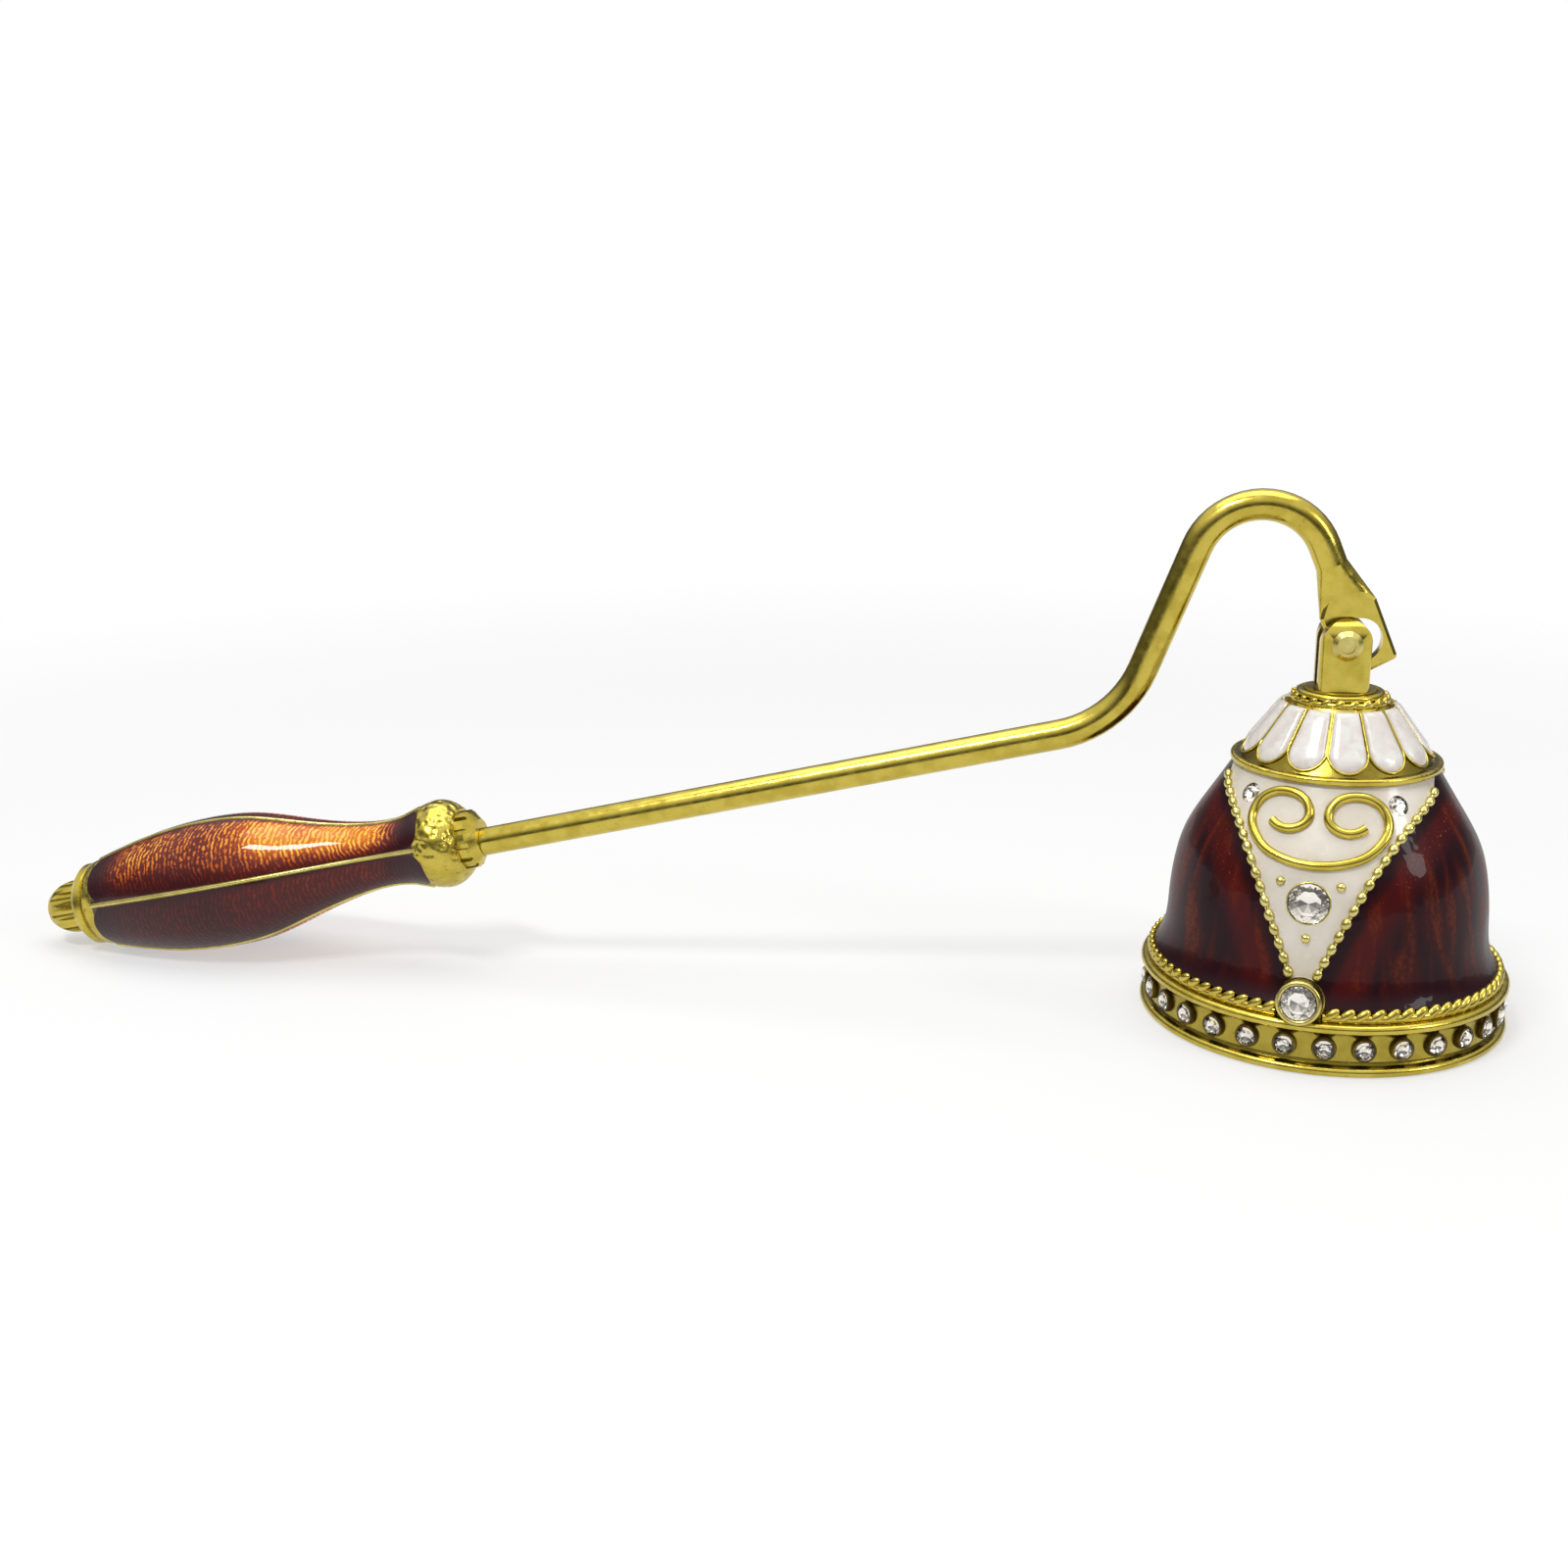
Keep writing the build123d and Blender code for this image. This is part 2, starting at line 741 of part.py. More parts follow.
def wall_spot(azimuth, offset, height):
    """Plane on the cup's wall at a sideways offset from a panel's centre line."""
    radius = wall_outline.position_at(wall_share_at(height)).X
    turn = degrees(atan2(offset, (radius ** 2 - offset ** 2) ** 0.5))
    return wall_plane(azimuth + turn, height)


def enamel_under(plane):
    """Depth of the wall's enamel, measured square to the surface."""
    return enamel_depth * hypot(plane.z_dir.X, plane.z_dir.Y)


def panel_trim(azimuth):
    """Crystals and studs of a panel: name, plane and radius of each."""
    corner_height = enamel_foot + wall_height * corner_stone_height_share
    corner_offset = rim_radius * corner_stone_share
    crystals = {
        "centre_crystal": (wall_spot(azimuth, 0, enamel_foot + wall_height * centre_stone_height_share), centre_stone_radius),
        "left_crystal": (wall_spot(azimuth, -corner_offset, corner_height), corner_stone_radius),
        "right_crystal": (wall_spot(azimuth, corner_offset, corner_height), corner_stone_radius),
    }
    studs = []
    for lateral, rise in stud_shares:
        height = enamel_foot + wall_height * rise
        studs.append(wall_spot(azimuth, lateral * panel_half_width(height), height))
    return crystals, studs


def panel_pieces(azimuth, skin, setting):
    """Everything that lies within one white panel."""
    panel = skin & panel_prism(azimuth)
    raised = wall_shell(0, -relief)
    crystals, studs = panel_trim(azimuth)
    pieces = {
        "panel_border": (raised & border_prism(azimuth)) - setting,
        "panel_scroll": raised & scroll_prism(azimuth),
        "panel_studs": [disc(plane, stud_radius, enamel_under(plane), stud_height) for plane in studs],
    }
    for name, (plane, radius) in crystals.items():
        panel -= disc(plane, radius, overrun, overrun)
        pieces[name] = plane.location * stone(radius, enamel_under(plane))
    for plane in studs:
        panel -= disc(plane, stud_radius, overrun, overrun)
    pieces["panel_enamel"] = panel - setting
    return pieces


def bell_pieces():
    pieces = {}
    petals = cone_shell(petal_depth)
    cup = cup_body() + petals
    for k in range(petal_count):
        prism = petal_prism(panel_turn + (k + 1 / 2) * 360 / petal_count)
        petal = petals & prism
        pieces[f"petal_enamel_{k + 1:02d}"] = petal
        cup -= petal
    band = rim_band()
    rope = rope_ring(foot_radius, rim_rope_radius, band_height)
    skin = wall_shell(enamel_depth, 0)
    red = skin
    for side, azimuth in (("front", panel_turn), ("back", panel_turn + 180)):
        plane = collet_plane(azimuth)
        setting = disc(plane, collet_radius, collet_depth, collet_lip)
        rope -= setting
        red = red - panel_prism(azimuth) - setting
        for name, piece in panel_pieces(azimuth, skin, setting).items():
            pieces[f"{name}_{side}"] = piece
        seat = disc(plane, apex_stone_radius, apex_stone_depth, overrun)
        collet = setting - cup - band - seat
        pieces[f"apex_collet_{side}"] = max(collet.solids(), key=lambda solid: solid.volume)
        pieces[f"apex_crystal_{side}"] = plane.location * stone(apex_stone_radius, apex_stone_depth)
    halves = sorted(red.solids(), key=lambda solid: solid.center().X)
    pieces["red_enamel_left"], pieces["red_enamel_right"] = halves
    crystals = []
    for plane in rim_stone_planes():
        band -= disc(plane, rim_stone_radius + seat_clearance, rim_stone_depth, overrun)
        crystals.append(plane.location * stone(rim_stone_radius, rim_stone_depth))
    pieces["rim_crystals"] = crystals
    pieces["bell_cup"] = cup
    pieces["rim_band"] = band
    pieces["rim_rope"] = rope
    pieces["crown_rope"] = rope_ring(boss_radius, crown_rope_radius, crown_height)
    pieces["clevis"] = clevis()
    pieces["hinge_pin"] = hinge_pin()
    return pieces


def wand_pieces():
    pockets = panel_pockets()
    pieces = {
        "rod": rod(),
        "ferrule": ferrule(),
        "handle_casting": handle_casting(pockets),
        "finial": finial(),
    }
    body = handle_body(0)
    for k, pocket in enumerate(pockets):
        pieces[f"handle_enamel_{k + 1}"] = body & pocket
    tilt = resting_tilt()
    return {name: placed(piece, tilt) for name, piece in pieces.items()}


os.makedirs("parts", exist_ok=True)
for name, piece in {**bell_pieces(), **wand_pieces()}.items():
    shape = Compound(children=piece) if isinstance(piece, list) else piece
    export_step(shape, f"parts/{name}.step")
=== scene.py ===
# Candle snuffer: finishes and fine ornament on the solid model.
import json
from math import cos, pi, radians, sin

import bmesh
import bpy
from mathutils import Matrix, Vector
from mathutils.bvhtree import BVHTree


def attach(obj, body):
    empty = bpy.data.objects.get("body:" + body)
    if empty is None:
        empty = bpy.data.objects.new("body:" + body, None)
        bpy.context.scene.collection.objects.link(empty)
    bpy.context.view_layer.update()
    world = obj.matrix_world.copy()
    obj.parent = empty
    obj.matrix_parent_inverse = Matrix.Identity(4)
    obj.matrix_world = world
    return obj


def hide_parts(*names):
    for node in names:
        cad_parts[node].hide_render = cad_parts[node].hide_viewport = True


MM = 0.001

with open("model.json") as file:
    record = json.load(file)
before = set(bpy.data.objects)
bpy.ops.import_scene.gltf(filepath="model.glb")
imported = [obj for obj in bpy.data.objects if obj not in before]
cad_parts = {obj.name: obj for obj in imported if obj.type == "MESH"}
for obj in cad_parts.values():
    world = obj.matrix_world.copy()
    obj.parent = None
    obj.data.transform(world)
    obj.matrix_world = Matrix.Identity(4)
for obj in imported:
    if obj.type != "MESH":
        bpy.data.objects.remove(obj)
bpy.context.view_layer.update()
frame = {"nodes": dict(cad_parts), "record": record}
nodes = frame["nodes"]


# ---------------------------------------------------------------- node trees

class Finish:
    """A material and short calls for its nodes. Sizes are in metres, on Object coordinates."""

    def __init__(self, name, **sockets):
        self.material = bpy.data.materials.new(name)
        self.material.use_nodes = True
        self.tree = self.material.node_tree
        self.shader = self.tree.nodes["Principled BSDF"]
        for socket, value in sockets.items():
            self.shader.inputs[socket.replace("_", " ")].default_value = value
        self.place = self.add("ShaderNodeTexCoord").outputs["Object"]

    def add(self, kind, **settings):
        node = self.tree.nodes.new(kind)
        for name, value in settings.items():
            setattr(node, name, value)
        return node

    def put(self, socket, value):
        if isinstance(value, bpy.types.NodeSocket):
            self.tree.links.new(value, socket)
        else:
            socket.default_value = value

    def sum(self, operation, *values):
        node = self.add("ShaderNodeMath", operation=operation)
        for socket, value in zip(node.inputs, values):
            self.put(socket, value)
        return node.outputs[0]

    def product(self, *values):
        whole = values[0]
        for value in values[1:]:
            whole = self.sum("MULTIPLY", whole, value)
        return whole

    def vector(self, operation, *values):
        node = self.add("ShaderNodeVectorMath", operation=operation)
        for socket, value in zip(node.inputs, values):
            self.put(socket, value)
        return node.outputs["Value" if operation in ("DOT_PRODUCT", "LENGTH") else "Vector"]

    def parts(self, vector):
        node = self.add("ShaderNodeSeparateXYZ")
        self.put(node.inputs[0], vector)
        return node.outputs[:3]

    def joined(self, x, y, z=0.0):
        node = self.add("ShaderNodeCombineXYZ")
        for socket, value in zip(node.inputs, (x, y, z)):
            self.put(socket, value)
        return node.outputs[0]

    def noise(self, size, detail=3.0, rough=0.55, warp=0.0, at=None):
        """Cloudy noise whose blots are about size across."""
        node = self.add("ShaderNodeTexNoise")
        grid = self.vector("MULTIPLY", at or self.place, (1 / size,) * 3)
        self.put(node.inputs["Vector"], grid)
        self.put(node.inputs["Scale"], 1.0)
        self.put(node.inputs["Detail"], detail)
        self.put(node.inputs["Roughness"], rough)
        self.put(node.inputs["Distortion"], warp)
        return node.outputs["Fac"]

    def cells(self, size):
        """Distance from the middles of soft-edged cells about size across."""
        node = self.add("ShaderNodeTexVoronoi", feature="SMOOTH_F1")
        self.put(node.inputs["Vector"], self.vector("MULTIPLY", self.place, (1 / size,) * 3))
        self.put(node.inputs["Scale"], 1.0)
        return node.outputs["Distance"]

    def ramp(self, factor, *stops):
        """Colour by factor: each stop is a place and a colour."""
        node = self.add("ShaderNodeValToRGB")
        elements = node.color_ramp.elements
        while len(elements) < len(stops):
            elements.new(0.5)
        for element, (place, colour) in zip(elements, stops):
            element.position = place
            element.color = (*colour, 1)
        self.put(node.inputs[0], factor)
        return node.outputs["Color"]

    def span(self, value, low, high, to_low=0.0, to_high=1.0):
        """Maps a value smoothly from one span to another, and holds it at the ends."""
        node = self.add("ShaderNodeMapRange", interpolation_type="SMOOTHSTEP")
        for socket, v in zip(node.inputs, (value, low, high, to_low, to_high)):
            self.put(socket, v)
        return node.outputs[0]

    def zone(self, value, start, full, ease, end):
        """One from full to ease, and nothing before the start or after the end, in millimetres."""
        rise = self.span(value, start * MM, full * MM)
        return self.product(rise, self.span(value, end * MM, ease * MM))

    def blend(self, factor, one, other):
        node = self.add("ShaderNodeMix", data_type="RGBA")
        self.put(node.inputs[0], factor)
        for socket, colour in ((node.inputs[6], one), (node.inputs[7], other)):
            self.put(socket, colour if isinstance(colour, bpy.types.NodeSocket) else (*colour, 1))
        return node.outputs[2]

    def colour(self, value):
        self.put(self.shader.inputs["Base Color"], value)

    def colour_so_far(self):
        return self.shader.inputs["Base Color"].links[0].from_socket

    def rough(self, value):
        self.put(self.shader.inputs["Roughness"], value)

    def bump(self, height, depth, under=None, coat=False):
        """Relief of the height times depth, in metres."""
        node = self.add("ShaderNodeBump")
        self.put(node.inputs["Strength"], 1.0)
        self.put(node.inputs["Distance"], depth)
        self.put(node.inputs["Height"], height)
        if under is not None:
            self.put(node.inputs["Normal"], under)
        self.put(self.shader.inputs["Coat Normal" if coat else "Normal"], node.outputs[0])
        return node.outputs[0]


class Rule:
    """A Geometry Nodes tree and short calls for its nodes."""

    def __init__(self, name, **sizes):
        self.tree = bpy.data.node_groups.new(name, "GeometryNodeTree")
        face = self.tree.interface
        face.new_socket("Geometry", in_out="INPUT", socket_type="NodeSocketGeometry")
        for size, value in sizes.items():
            kind = "NodeSocketInt" if isinstance(value, int) else "NodeSocketFloat"
            face.new_socket(size, in_out="INPUT", socket_type=kind).default_value = value
        face.new_socket("Geometry", in_out="OUTPUT", socket_type="NodeSocketGeometry")
        self.inputs = self.tree.nodes.new("NodeGroupInput").outputs

    def add(self, kind, given=(), **settings):
        node = self.tree.nodes.new(kind)
        for name, value in settings.items():
            setattr(node, name, value)
        for socket, value in dict(given).items():
            if isinstance(value, bpy.types.NodeSocket):
                self.tree.links.new(value, node.inputs[socket])
            else:
                node.inputs[socket].default_value = value
        return node

    def made(self, kind, given=(), **settings):
        """The first output of a new node."""
        return self.add(kind, given, **settings).outputs[0]

    def sum(self, operation, *values):
        return self.made("ShaderNodeMath", dict(enumerate(values)), operation=operation)

    def joined(self, x=0.0, y=0.0, z=0.0):
        return self.made("ShaderNodeCombineXYZ", {0: x, 1: y, 2: z})

    def on_ring(self, radius, turn, height):
        """The point on a ring about Z, turned from the front."""
        x = self.sum("MULTIPLY", radius, self.sum("SINE", turn))
        y = self.sum("MULTIPLY", self.sum("MULTIPLY", radius, self.sum("COSINE", turn)), -1.0)
        return self.joined(x, y, height)

    def copied(self, points, piece, **given):
        """The piece at each point, turned and scaled as it is given."""
        sockets = {"Points": points, "Instance": piece, **given}
        return self.made("GeometryNodeInstanceOnPoints", sockets)

    def tube(self, curve, radius, sides):
        given = {"Resolution": sides, "Radius": radius}
        ring = self.made("GeometryNodeCurvePrimitiveCircle", given)
        given = {"Curve": curve, "Profile Curve": ring, "Fill Caps": True}
        return self.made("GeometryNodeCurveToMesh", given)

    def together(self, *pieces):
        both = self.add("GeometryNodeJoinGeometry")
        for piece in pieces:
            self.tree.links.new(piece, both.inputs[0])
        return both.outputs[0]

    def repeated(self, geometry):
        """Copies of the geometry, turned evenly about Z."""
        spots = self.made("GeometryNodePoints", {"Count": self.inputs["copies"]})
        step = self.sum("DIVIDE", 2 * pi, self.inputs["copies"])
        turn = self.sum("MULTIPLY", self.made("GeometryNodeInputIndex"), step)
        return self.copied(spots, geometry, Rotation=self.joined(z=turn))

    def end(self, geometry, finish, smooth=True):
        real = self.made("GeometryNodeRealizeInstances", {0: geometry})
        if smooth:
            real = self.made("GeometryNodeSetShadeSmooth", {0: real})
        given = {"Geometry": real, "Material": finish.material}
        out = self.tree.nodes.new("NodeGroupOutput")
        self.tree.links.new(self.made("GeometryNodeSetMaterial", given), out.inputs[0])
        return self


def grown(name, seed_mesh, rule, **sizes):
    """The mesh that a rule makes from a seed mesh, as a new plain object."""
    seed = bpy.data.objects.new(name + "_seed", seed_mesh)
    bpy.context.scene.collection.objects.link(seed)
    modifier = seed.modifiers.new("rule", "NODES")
    modifier.node_group = rule.tree
    for item in rule.tree.interface.items_tree:
        if item.in_out == "INPUT" and item.name in sizes:
            modifier[item.identifier] = sizes[item.name]
    depsgraph = bpy.context.evaluated_depsgraph_get()
    mesh = bpy.data.meshes.new_from_object(seed.evaluated_get(depsgraph), depsgraph=depsgraph)
    bpy.data.objects.remove(seed)
    return added(name, mesh)


def added(name, mesh):
    mesh.name = name
    piece = bpy.data.objects.new(name, mesh)
    bpy.context.scene.collection.objects.link(piece)
    return piece


def mesh_of(name, points, edges=(), faces=()):
    mesh = bpy.data.meshes.new(name)
    mesh.from_pydata([tuple(p) for p in points], edges, faces)
    return mesh


# ---------------------------------------------------------------- sizes of the object

PIVOT = Vector((0, 0, 44.2)) * MM
WAND_TILT = radians(11.8125)
LEVEL = Matrix.Rotation(-WAND_TILT, 3, "Y")
HANDLE_FRONT = PIVOT + LEVEL @ (Vector((-106.7, 0, -5.56)) * MM)
HANDLE_AXIS = LEVEL @ Vector((-1, 0, 0))
HANDLE_UP = LEVEL @ Vector((0, 0, 1))
RIBS = 5
RIB_STEP = radians(360 / RIBS)
FIRST_RIB = radians(10.5)
WALL_RADIUS = 17 * MM
PANEL_TURN = radians(-13.5)
# One side of a white panel: half width and height, in millimetres
PANEL_SIDE = (
    (0.3, 7.3), (1.7, 11.12), (3.45, 15.25), (5.25, 19.37), (6.29, 21.43),
    (7.94, 24.22), (9.99, 26.99), (11.14, 28.5), (10.95, 30.2),
)
# The scroll: half width and height of one side, from its foot to the curl's end
SCROLL = (
    (0, 22.3), (2.0, 22.4), (3.9, 22.8), (5.3, 23.3), (6.5, 24.3), (7.2, 25.5),
    (7.15, 26.7), (6.4, 28.0), (5.2, 28.85), (4.0, 29.15), (2.7, 29.1), (1.6, 28.6),
    (0.95, 27.6), (1.05, 26.6), (1.9, 25.85), (3.1, 25.5), (4.2, 25.65), (4.9, 26.1),
)
# The beading's ends on a panel's side, and how far ornament is raised from the wall
BEADING_FROM, BEADING_TO = 9.9, 28.9
ORNAMENT_LIFT = 0.12
RIM_STONES = 30
FIRST_RIM_STONE = PANEL_TURN + radians(8.4)
RIM_STONE_HEIGHT = 3.0 * MM
# The cone under the petals: radius and height at its foot and its top, in millimetres
PETALS = 13
FOOT_RADIUS, FOOT_HEIGHT = 10.75, 31.0
TOP_RADIUS, TOP_HEIGHT = 5.95, 37.4
# A petal's tip, and where it is widest, as distances up the cone's slope
PETAL_TIP, PETAL_WIDEST = 0.35, 2.7


# ---------------------------------------------------------------- finishes

GOLD = (0.58, 0.46, 0.08)
GOLD_DEEP = (0.34, 0.25, 0.018)
# A paler copy of the gold: painted highlight on the beads, studs, settings, collets, rib crests and
# hinge pin
PAINTED_HIGHLIGHT_GOLD = (0.68, 0.59, 0.21)
# Dark gold for the specks of wear, and for the painted shade in the band's channel and the cup's
# recesses
SPECK_AND_SHADE_GOLD = (0.07, 0.045, 0.004)
DARK_ENAMEL = (0.035, 0.008, 0.010)


def on_handle(f):
    """Distances from the handle's front end: along its axis, towards the front and up."""
    out = f.vector("SUBTRACT", f.place, tuple(HANDLE_FRONT))
    along = f.vector("DOT_PRODUCT", out, tuple(HANDLE_AXIS))
    side = f.sum("MULTIPLY", f.parts(out)[1], -1.0)
    up = f.vector("DOT_PRODUCT", out, tuple(HANDLE_UP))
    return along, side, up


def rib_count(f, side, up):
    """Ribs passed round the handle, counted from the first one."""
    return f.sum("DIVIDE", f.sum("SUBTRACT", f.sum("ARCTAN2", up, side), FIRST_RIB), RIB_STEP)


def share_of(f, turn, shift):
    """Place across a field, or across a rib, from minus a half to a half."""
    return f.sum("SUBTRACT", f.sum("FRACT", f.sum("ADD", turn, shift)), 0.5)


def gold(name, roughness=0.22, grain=0.005, wave=0.015, speck=0.25, hammered=None, tint=GOLD):
    """Gold plate: soft waves, fine grain and darker specks, and hammering where it is asked for."""
    f = Finish(name, Metallic=1.0)
    slow = f.noise(2.6 * MM, detail=2)
    fine = f.noise(0.25 * MM, detail=3)
    dots = f.span(f.noise(0.4 * MM, detail=3, rough=0.6), 0.60, 0.74)
    worn = f.span(f.noise(5 * MM, detail=2), 0.40, 0.65)
    tone = f.blend(f.span(slow, 0.35, 0.6, 0.4, 0.0), tint, GOLD_DEEP)
    f.colour(f.blend(f.product(dots, worn, speck), tone, SPECK_AND_SHADE_GOLD))
    f.rough(f.span(f.noise(1.1 * MM), 0.3, 0.7, roughness - 0.04, roughness + 0.08))
    under = f.bump(slow, wave * MM)
    if hammered is not None:
        dents = f.product(f.span(f.cells(0.9 * MM), 0.0, 0.7), hammered(f))
        under = f.bump(dents, 0.22 * MM, under=under)
    f.bump(fine, grain * MM, under=under)
    return f


def collars_only(f):
    """One over the handle's leafy collar, less over its butt ring, and nothing between them."""
    along, _, _ = on_handle(f)
    front = f.zone(along, 2.1, 2.5, 6.8, 8.2)
    butt = f.zone(along, 50.5, 52.0, 54.0, 54.4)
    return f.sum("MULTIPLY_ADD", butt, 0.6, front)


def panel_edge(f, height):
    """The half width of the white panel at a height, through the points of its side."""
    whole = PANEL_SIDE[0][0] * MM
    for (w0, z0), (w1, z1) in zip(PANEL_SIDE, PANEL_SIDE[1:]):
        node = f.add("ShaderNodeMapRange", interpolation_type="LINEAR")
        for socket, v in zip(node.inputs, (height, z0 * MM, z1 * MM, 0.0, (w1 - w0) * MM)):
            f.put(socket, v)
        whole = f.sum("ADD", node.outputs[0], whole)
    return whole


def red_enamel():
    """Glassy dark red over a brushed ground, with reddish streaks down the bell and dark edges."""
    f = Finish("red_enamel", Coat_Weight=0.16, Coat_Roughness=0.04, Coat_IOR=1.5,
               Specular_IOR_Level=0.05)
    x, y, z = f.parts(f.place)
    around = f.sum("MULTIPLY", f.sum("ARCTAN2", y, x), WALL_RADIUS)
    streaks = f.joined(around, f.sum("MULTIPLY", z, 0.22))
    broad = f.noise(2.4 * MM, detail=3, rough=0.5, warp=0.4, at=streaks)
    brushing = f.joined(around, f.sum("MULTIPLY", z, 0.7))
    fine = f.noise(0.4 * MM, detail=4, rough=0.6, at=brushing)
    flecks = f.span(f.noise(0.28 * MM, detail=2), 0.66, 0.74)
    sideways = (cos(PANEL_TURN), sin(PANEL_TURN), 0)
    across = f.sum("ABSOLUTE", f.vector("DOT_PRODUCT", f.place, sideways))
    beyond = f.sum("SUBTRACT", across, panel_edge(f, z))
    # The enamel is darker along the panel, the rope and the moulded ring
    clear = f.product(
        f.span(beyond, 0.5 * MM, 2.4 * MM),
        f.span(z, 7.4 * MM, 10.5 * MM, 0.1, 1.0),
        f.span(z, 30.2 * MM, 27.5 * MM, 0.25, 1.0),
    )
    hot = f.zone(beyond, 1.4, 2.6, 3.6, 6.5)
    light = f.product(f.span(broad, 0.40, 0.66), f.span(fine, 0.3, 0.7, 0.55, 1.0), clear)
    base = f.ramp(light, (0.0, (0.020, 0.005, 0.008)), (0.45, (0.045, 0.006, 0.006)),
                  (1.0, (0.125, 0.020, 0.006)))
    base = f.blend(f.product(hot, clear, 0.45), base, (0.11, 0.007, 0.005))
    sparks = f.product(flecks, hot, f.span(z, 26 * MM, 16 * MM, 0.5, 0.0))
    f.colour(f.blend(sparks, base, (0.75, 0.25, 0.09)))
    f.rough(f.span(broad, 0.3, 0.7, 0.30, 0.42))
    f.bump(fine, 0.008 * MM)
    f.bump(f.noise(3.2 * MM, detail=2), 0.14 * MM, coat=True)
    return f


def amber_enamel():
    """Clear amber over ripples that run round the handle, dark at the edges, with painted light
    mid-handle and painted shade below the first rib.
    """
    f = Finish("amber_enamel", Coat_Weight=0.5, Coat_Roughness=0.04, Coat_IOR=1.5,
               Specular_IOR_Level=0.05)
    along, side, up = on_handle(f)
    turn = rib_count(f, side, up)
    share = share_of(f, turn, 5.0)
    bow = f.product(share, share, 4 * MM)
    drift = f.product(f.noise(1.6 * MM, detail=4, rough=0.6), 1.5 * MM)
    path = f.sum("ADD", f.sum("ADD", along, bow), drift)
    ripple = f.sum("SINE", f.sum("MULTIPLY", path, 2 * pi / (0.62 * MM)))
    broken = f.span(f.noise(0.75 * MM, detail=2), 0.40, 0.58, 0.2, 1.0)
    crest = f.product(f.span(ripple, -0.8, 1.0), broken)
    clear = f.product(
        f.span(share, -0.45, 0.06, 0.12, 1.0),
        f.span(share, 0.47, 0.34),
        f.zone(along, 8.5, 13.5, 46.0, 52.0),
    )
    # Painted light: a brighter zone along the middle of the handle lifts the patches and the
    # ripples' ground
    painted_light_zone = f.zone(along, 10, 15, 28, 36)
    patches_and_painted_light = f.span(f.noise(8 * MM, detail=2), 0.35, 0.65, 0.55, 1.0)
    patches_and_painted_light = f.product(patches_and_painted_light, f.sum("MULTIPLY_ADD", painted_light_zone, 0.65, 0.80))
    # Painted shade: the field below the first rib is darkened
    painted_field_shade = f.span(f.sum("ABSOLUTE", f.sum("ADD", turn, 0.5)), 0.48, 0.56, 0.13, 1.0)
    ground = f.sum("MULTIPLY_ADD", painted_light_zone, 0.13, 0.20)
    light = f.product(f.span(crest, 0.0, 1.0, ground, 1.0), clear, f.product(patches_and_painted_light, painted_field_shade))
    f.colour(f.ramp(light, (0.0, (0.035, 0.007, 0.010)), (0.15, (0.15, 0.014, 0.006)),
                    (0.38, (0.62, 0.12, 0.006)), (0.85, (1.0, 0.54, 0.06))))
    f.rough(f.span(crest, 0, 1, 0.42, 0.30))
    f.bump(crest, 0.03 * MM)
    f.bump(f.noise(5 * MM, detail=1), 0.06 * MM, coat=True)
    return f


def cream_enamel():
    """Opaque cream enamel, glossy and a little uneven, as it pools round the raised gold."""
    f = Finish("cream_enamel", Coat_Weight=0.35, Coat_Roughness=0.05)
    f.colour(f.ramp(f.noise(3 * MM), (0.3, (0.74, 0.67, 0.56)), (0.7, (0.82, 0.76, 0.67))))
    f.rough(f.span(f.noise(1.2 * MM), 0.3, 0.7, 0.18, 0.28))
    f.bump(f.noise(2.5 * MM, detail=1), 0.05 * MM)
    return f


def pearl_enamel():
    """Milky enamel with soft pinkish clouds, like mother of pearl."""
    f = Finish("pearl_enamel", Coat_Weight=0.4, Coat_Roughness=0.05)
    clouds = f.noise(1.4 * MM, detail=3, rough=0.5, warp=0.8)
    f.colour(f.ramp(clouds, (0.35, (0.72, 0.64, 0.60)), (0.5, (0.79, 0.75, 0.70)),
                    (0.68, (0.85, 0.83, 0.79))))
    f.rough(f.span(clouds, 0.35, 0.65, 0.30, 0.18))
    f.bump(clouds, 0.03 * MM)
    return f


def band_gold():
    """The rim band's gold, with painted shade in its channel, darkest in the channel's corners."""
    f = gold("band_gold", 0.22, grain=0.005, wave=0.02, speck=0.35)
    x, y, z = f.parts(f.place)
    deep = f.span(f.vector("LENGTH", f.joined(x, y)), 20.0 * MM, 20.55 * MM, 1.0, 0.0)
    corner = f.sum("MAXIMUM", f.span(z, 1.5 * MM, 1.05 * MM), f.span(z, 4.5 * MM, 4.9 * MM))
    # Painted shade: the channel floor is darkened, most in its corners under the lips
    shade = f.product(deep, f.span(corner, 0.0, 1.0, 0.35, 0.95), f.span(z, 5.2 * MM, 5.1 * MM))
    f.colour(f.blend(shade, f.colour_so_far(), SPECK_AND_SHADE_GOLD))
    return f


def grip_gold():
    """The handle's gold: hammered collars, and ribs whose edges the enamel laps over."""
    f = gold("handle_gold", 0.24, speck=0.5, hammered=collars_only)
    along, side, up = on_handle(f)
    share = share_of(f, rib_count(f, side, up), 5.5)
    radius = f.sum("SQRT", f.sum("ADD", f.product(side, side), f.product(up, up)))
    away = f.product(f.sum("ABSOLUTE", share), f.product(radius, RIB_STEP))
    lapped = f.product(f.span(away, 0.24 * MM, 0.32 * MM), f.zone(along, 7.2, 7.6, 52.4, 52.8))
    f.colour(f.blend(lapped, f.colour_so_far(), DARK_ENAMEL))
    f.put(f.shader.inputs["Metallic"], f.sum("SUBTRACT", 1.0, lapped))
    return f


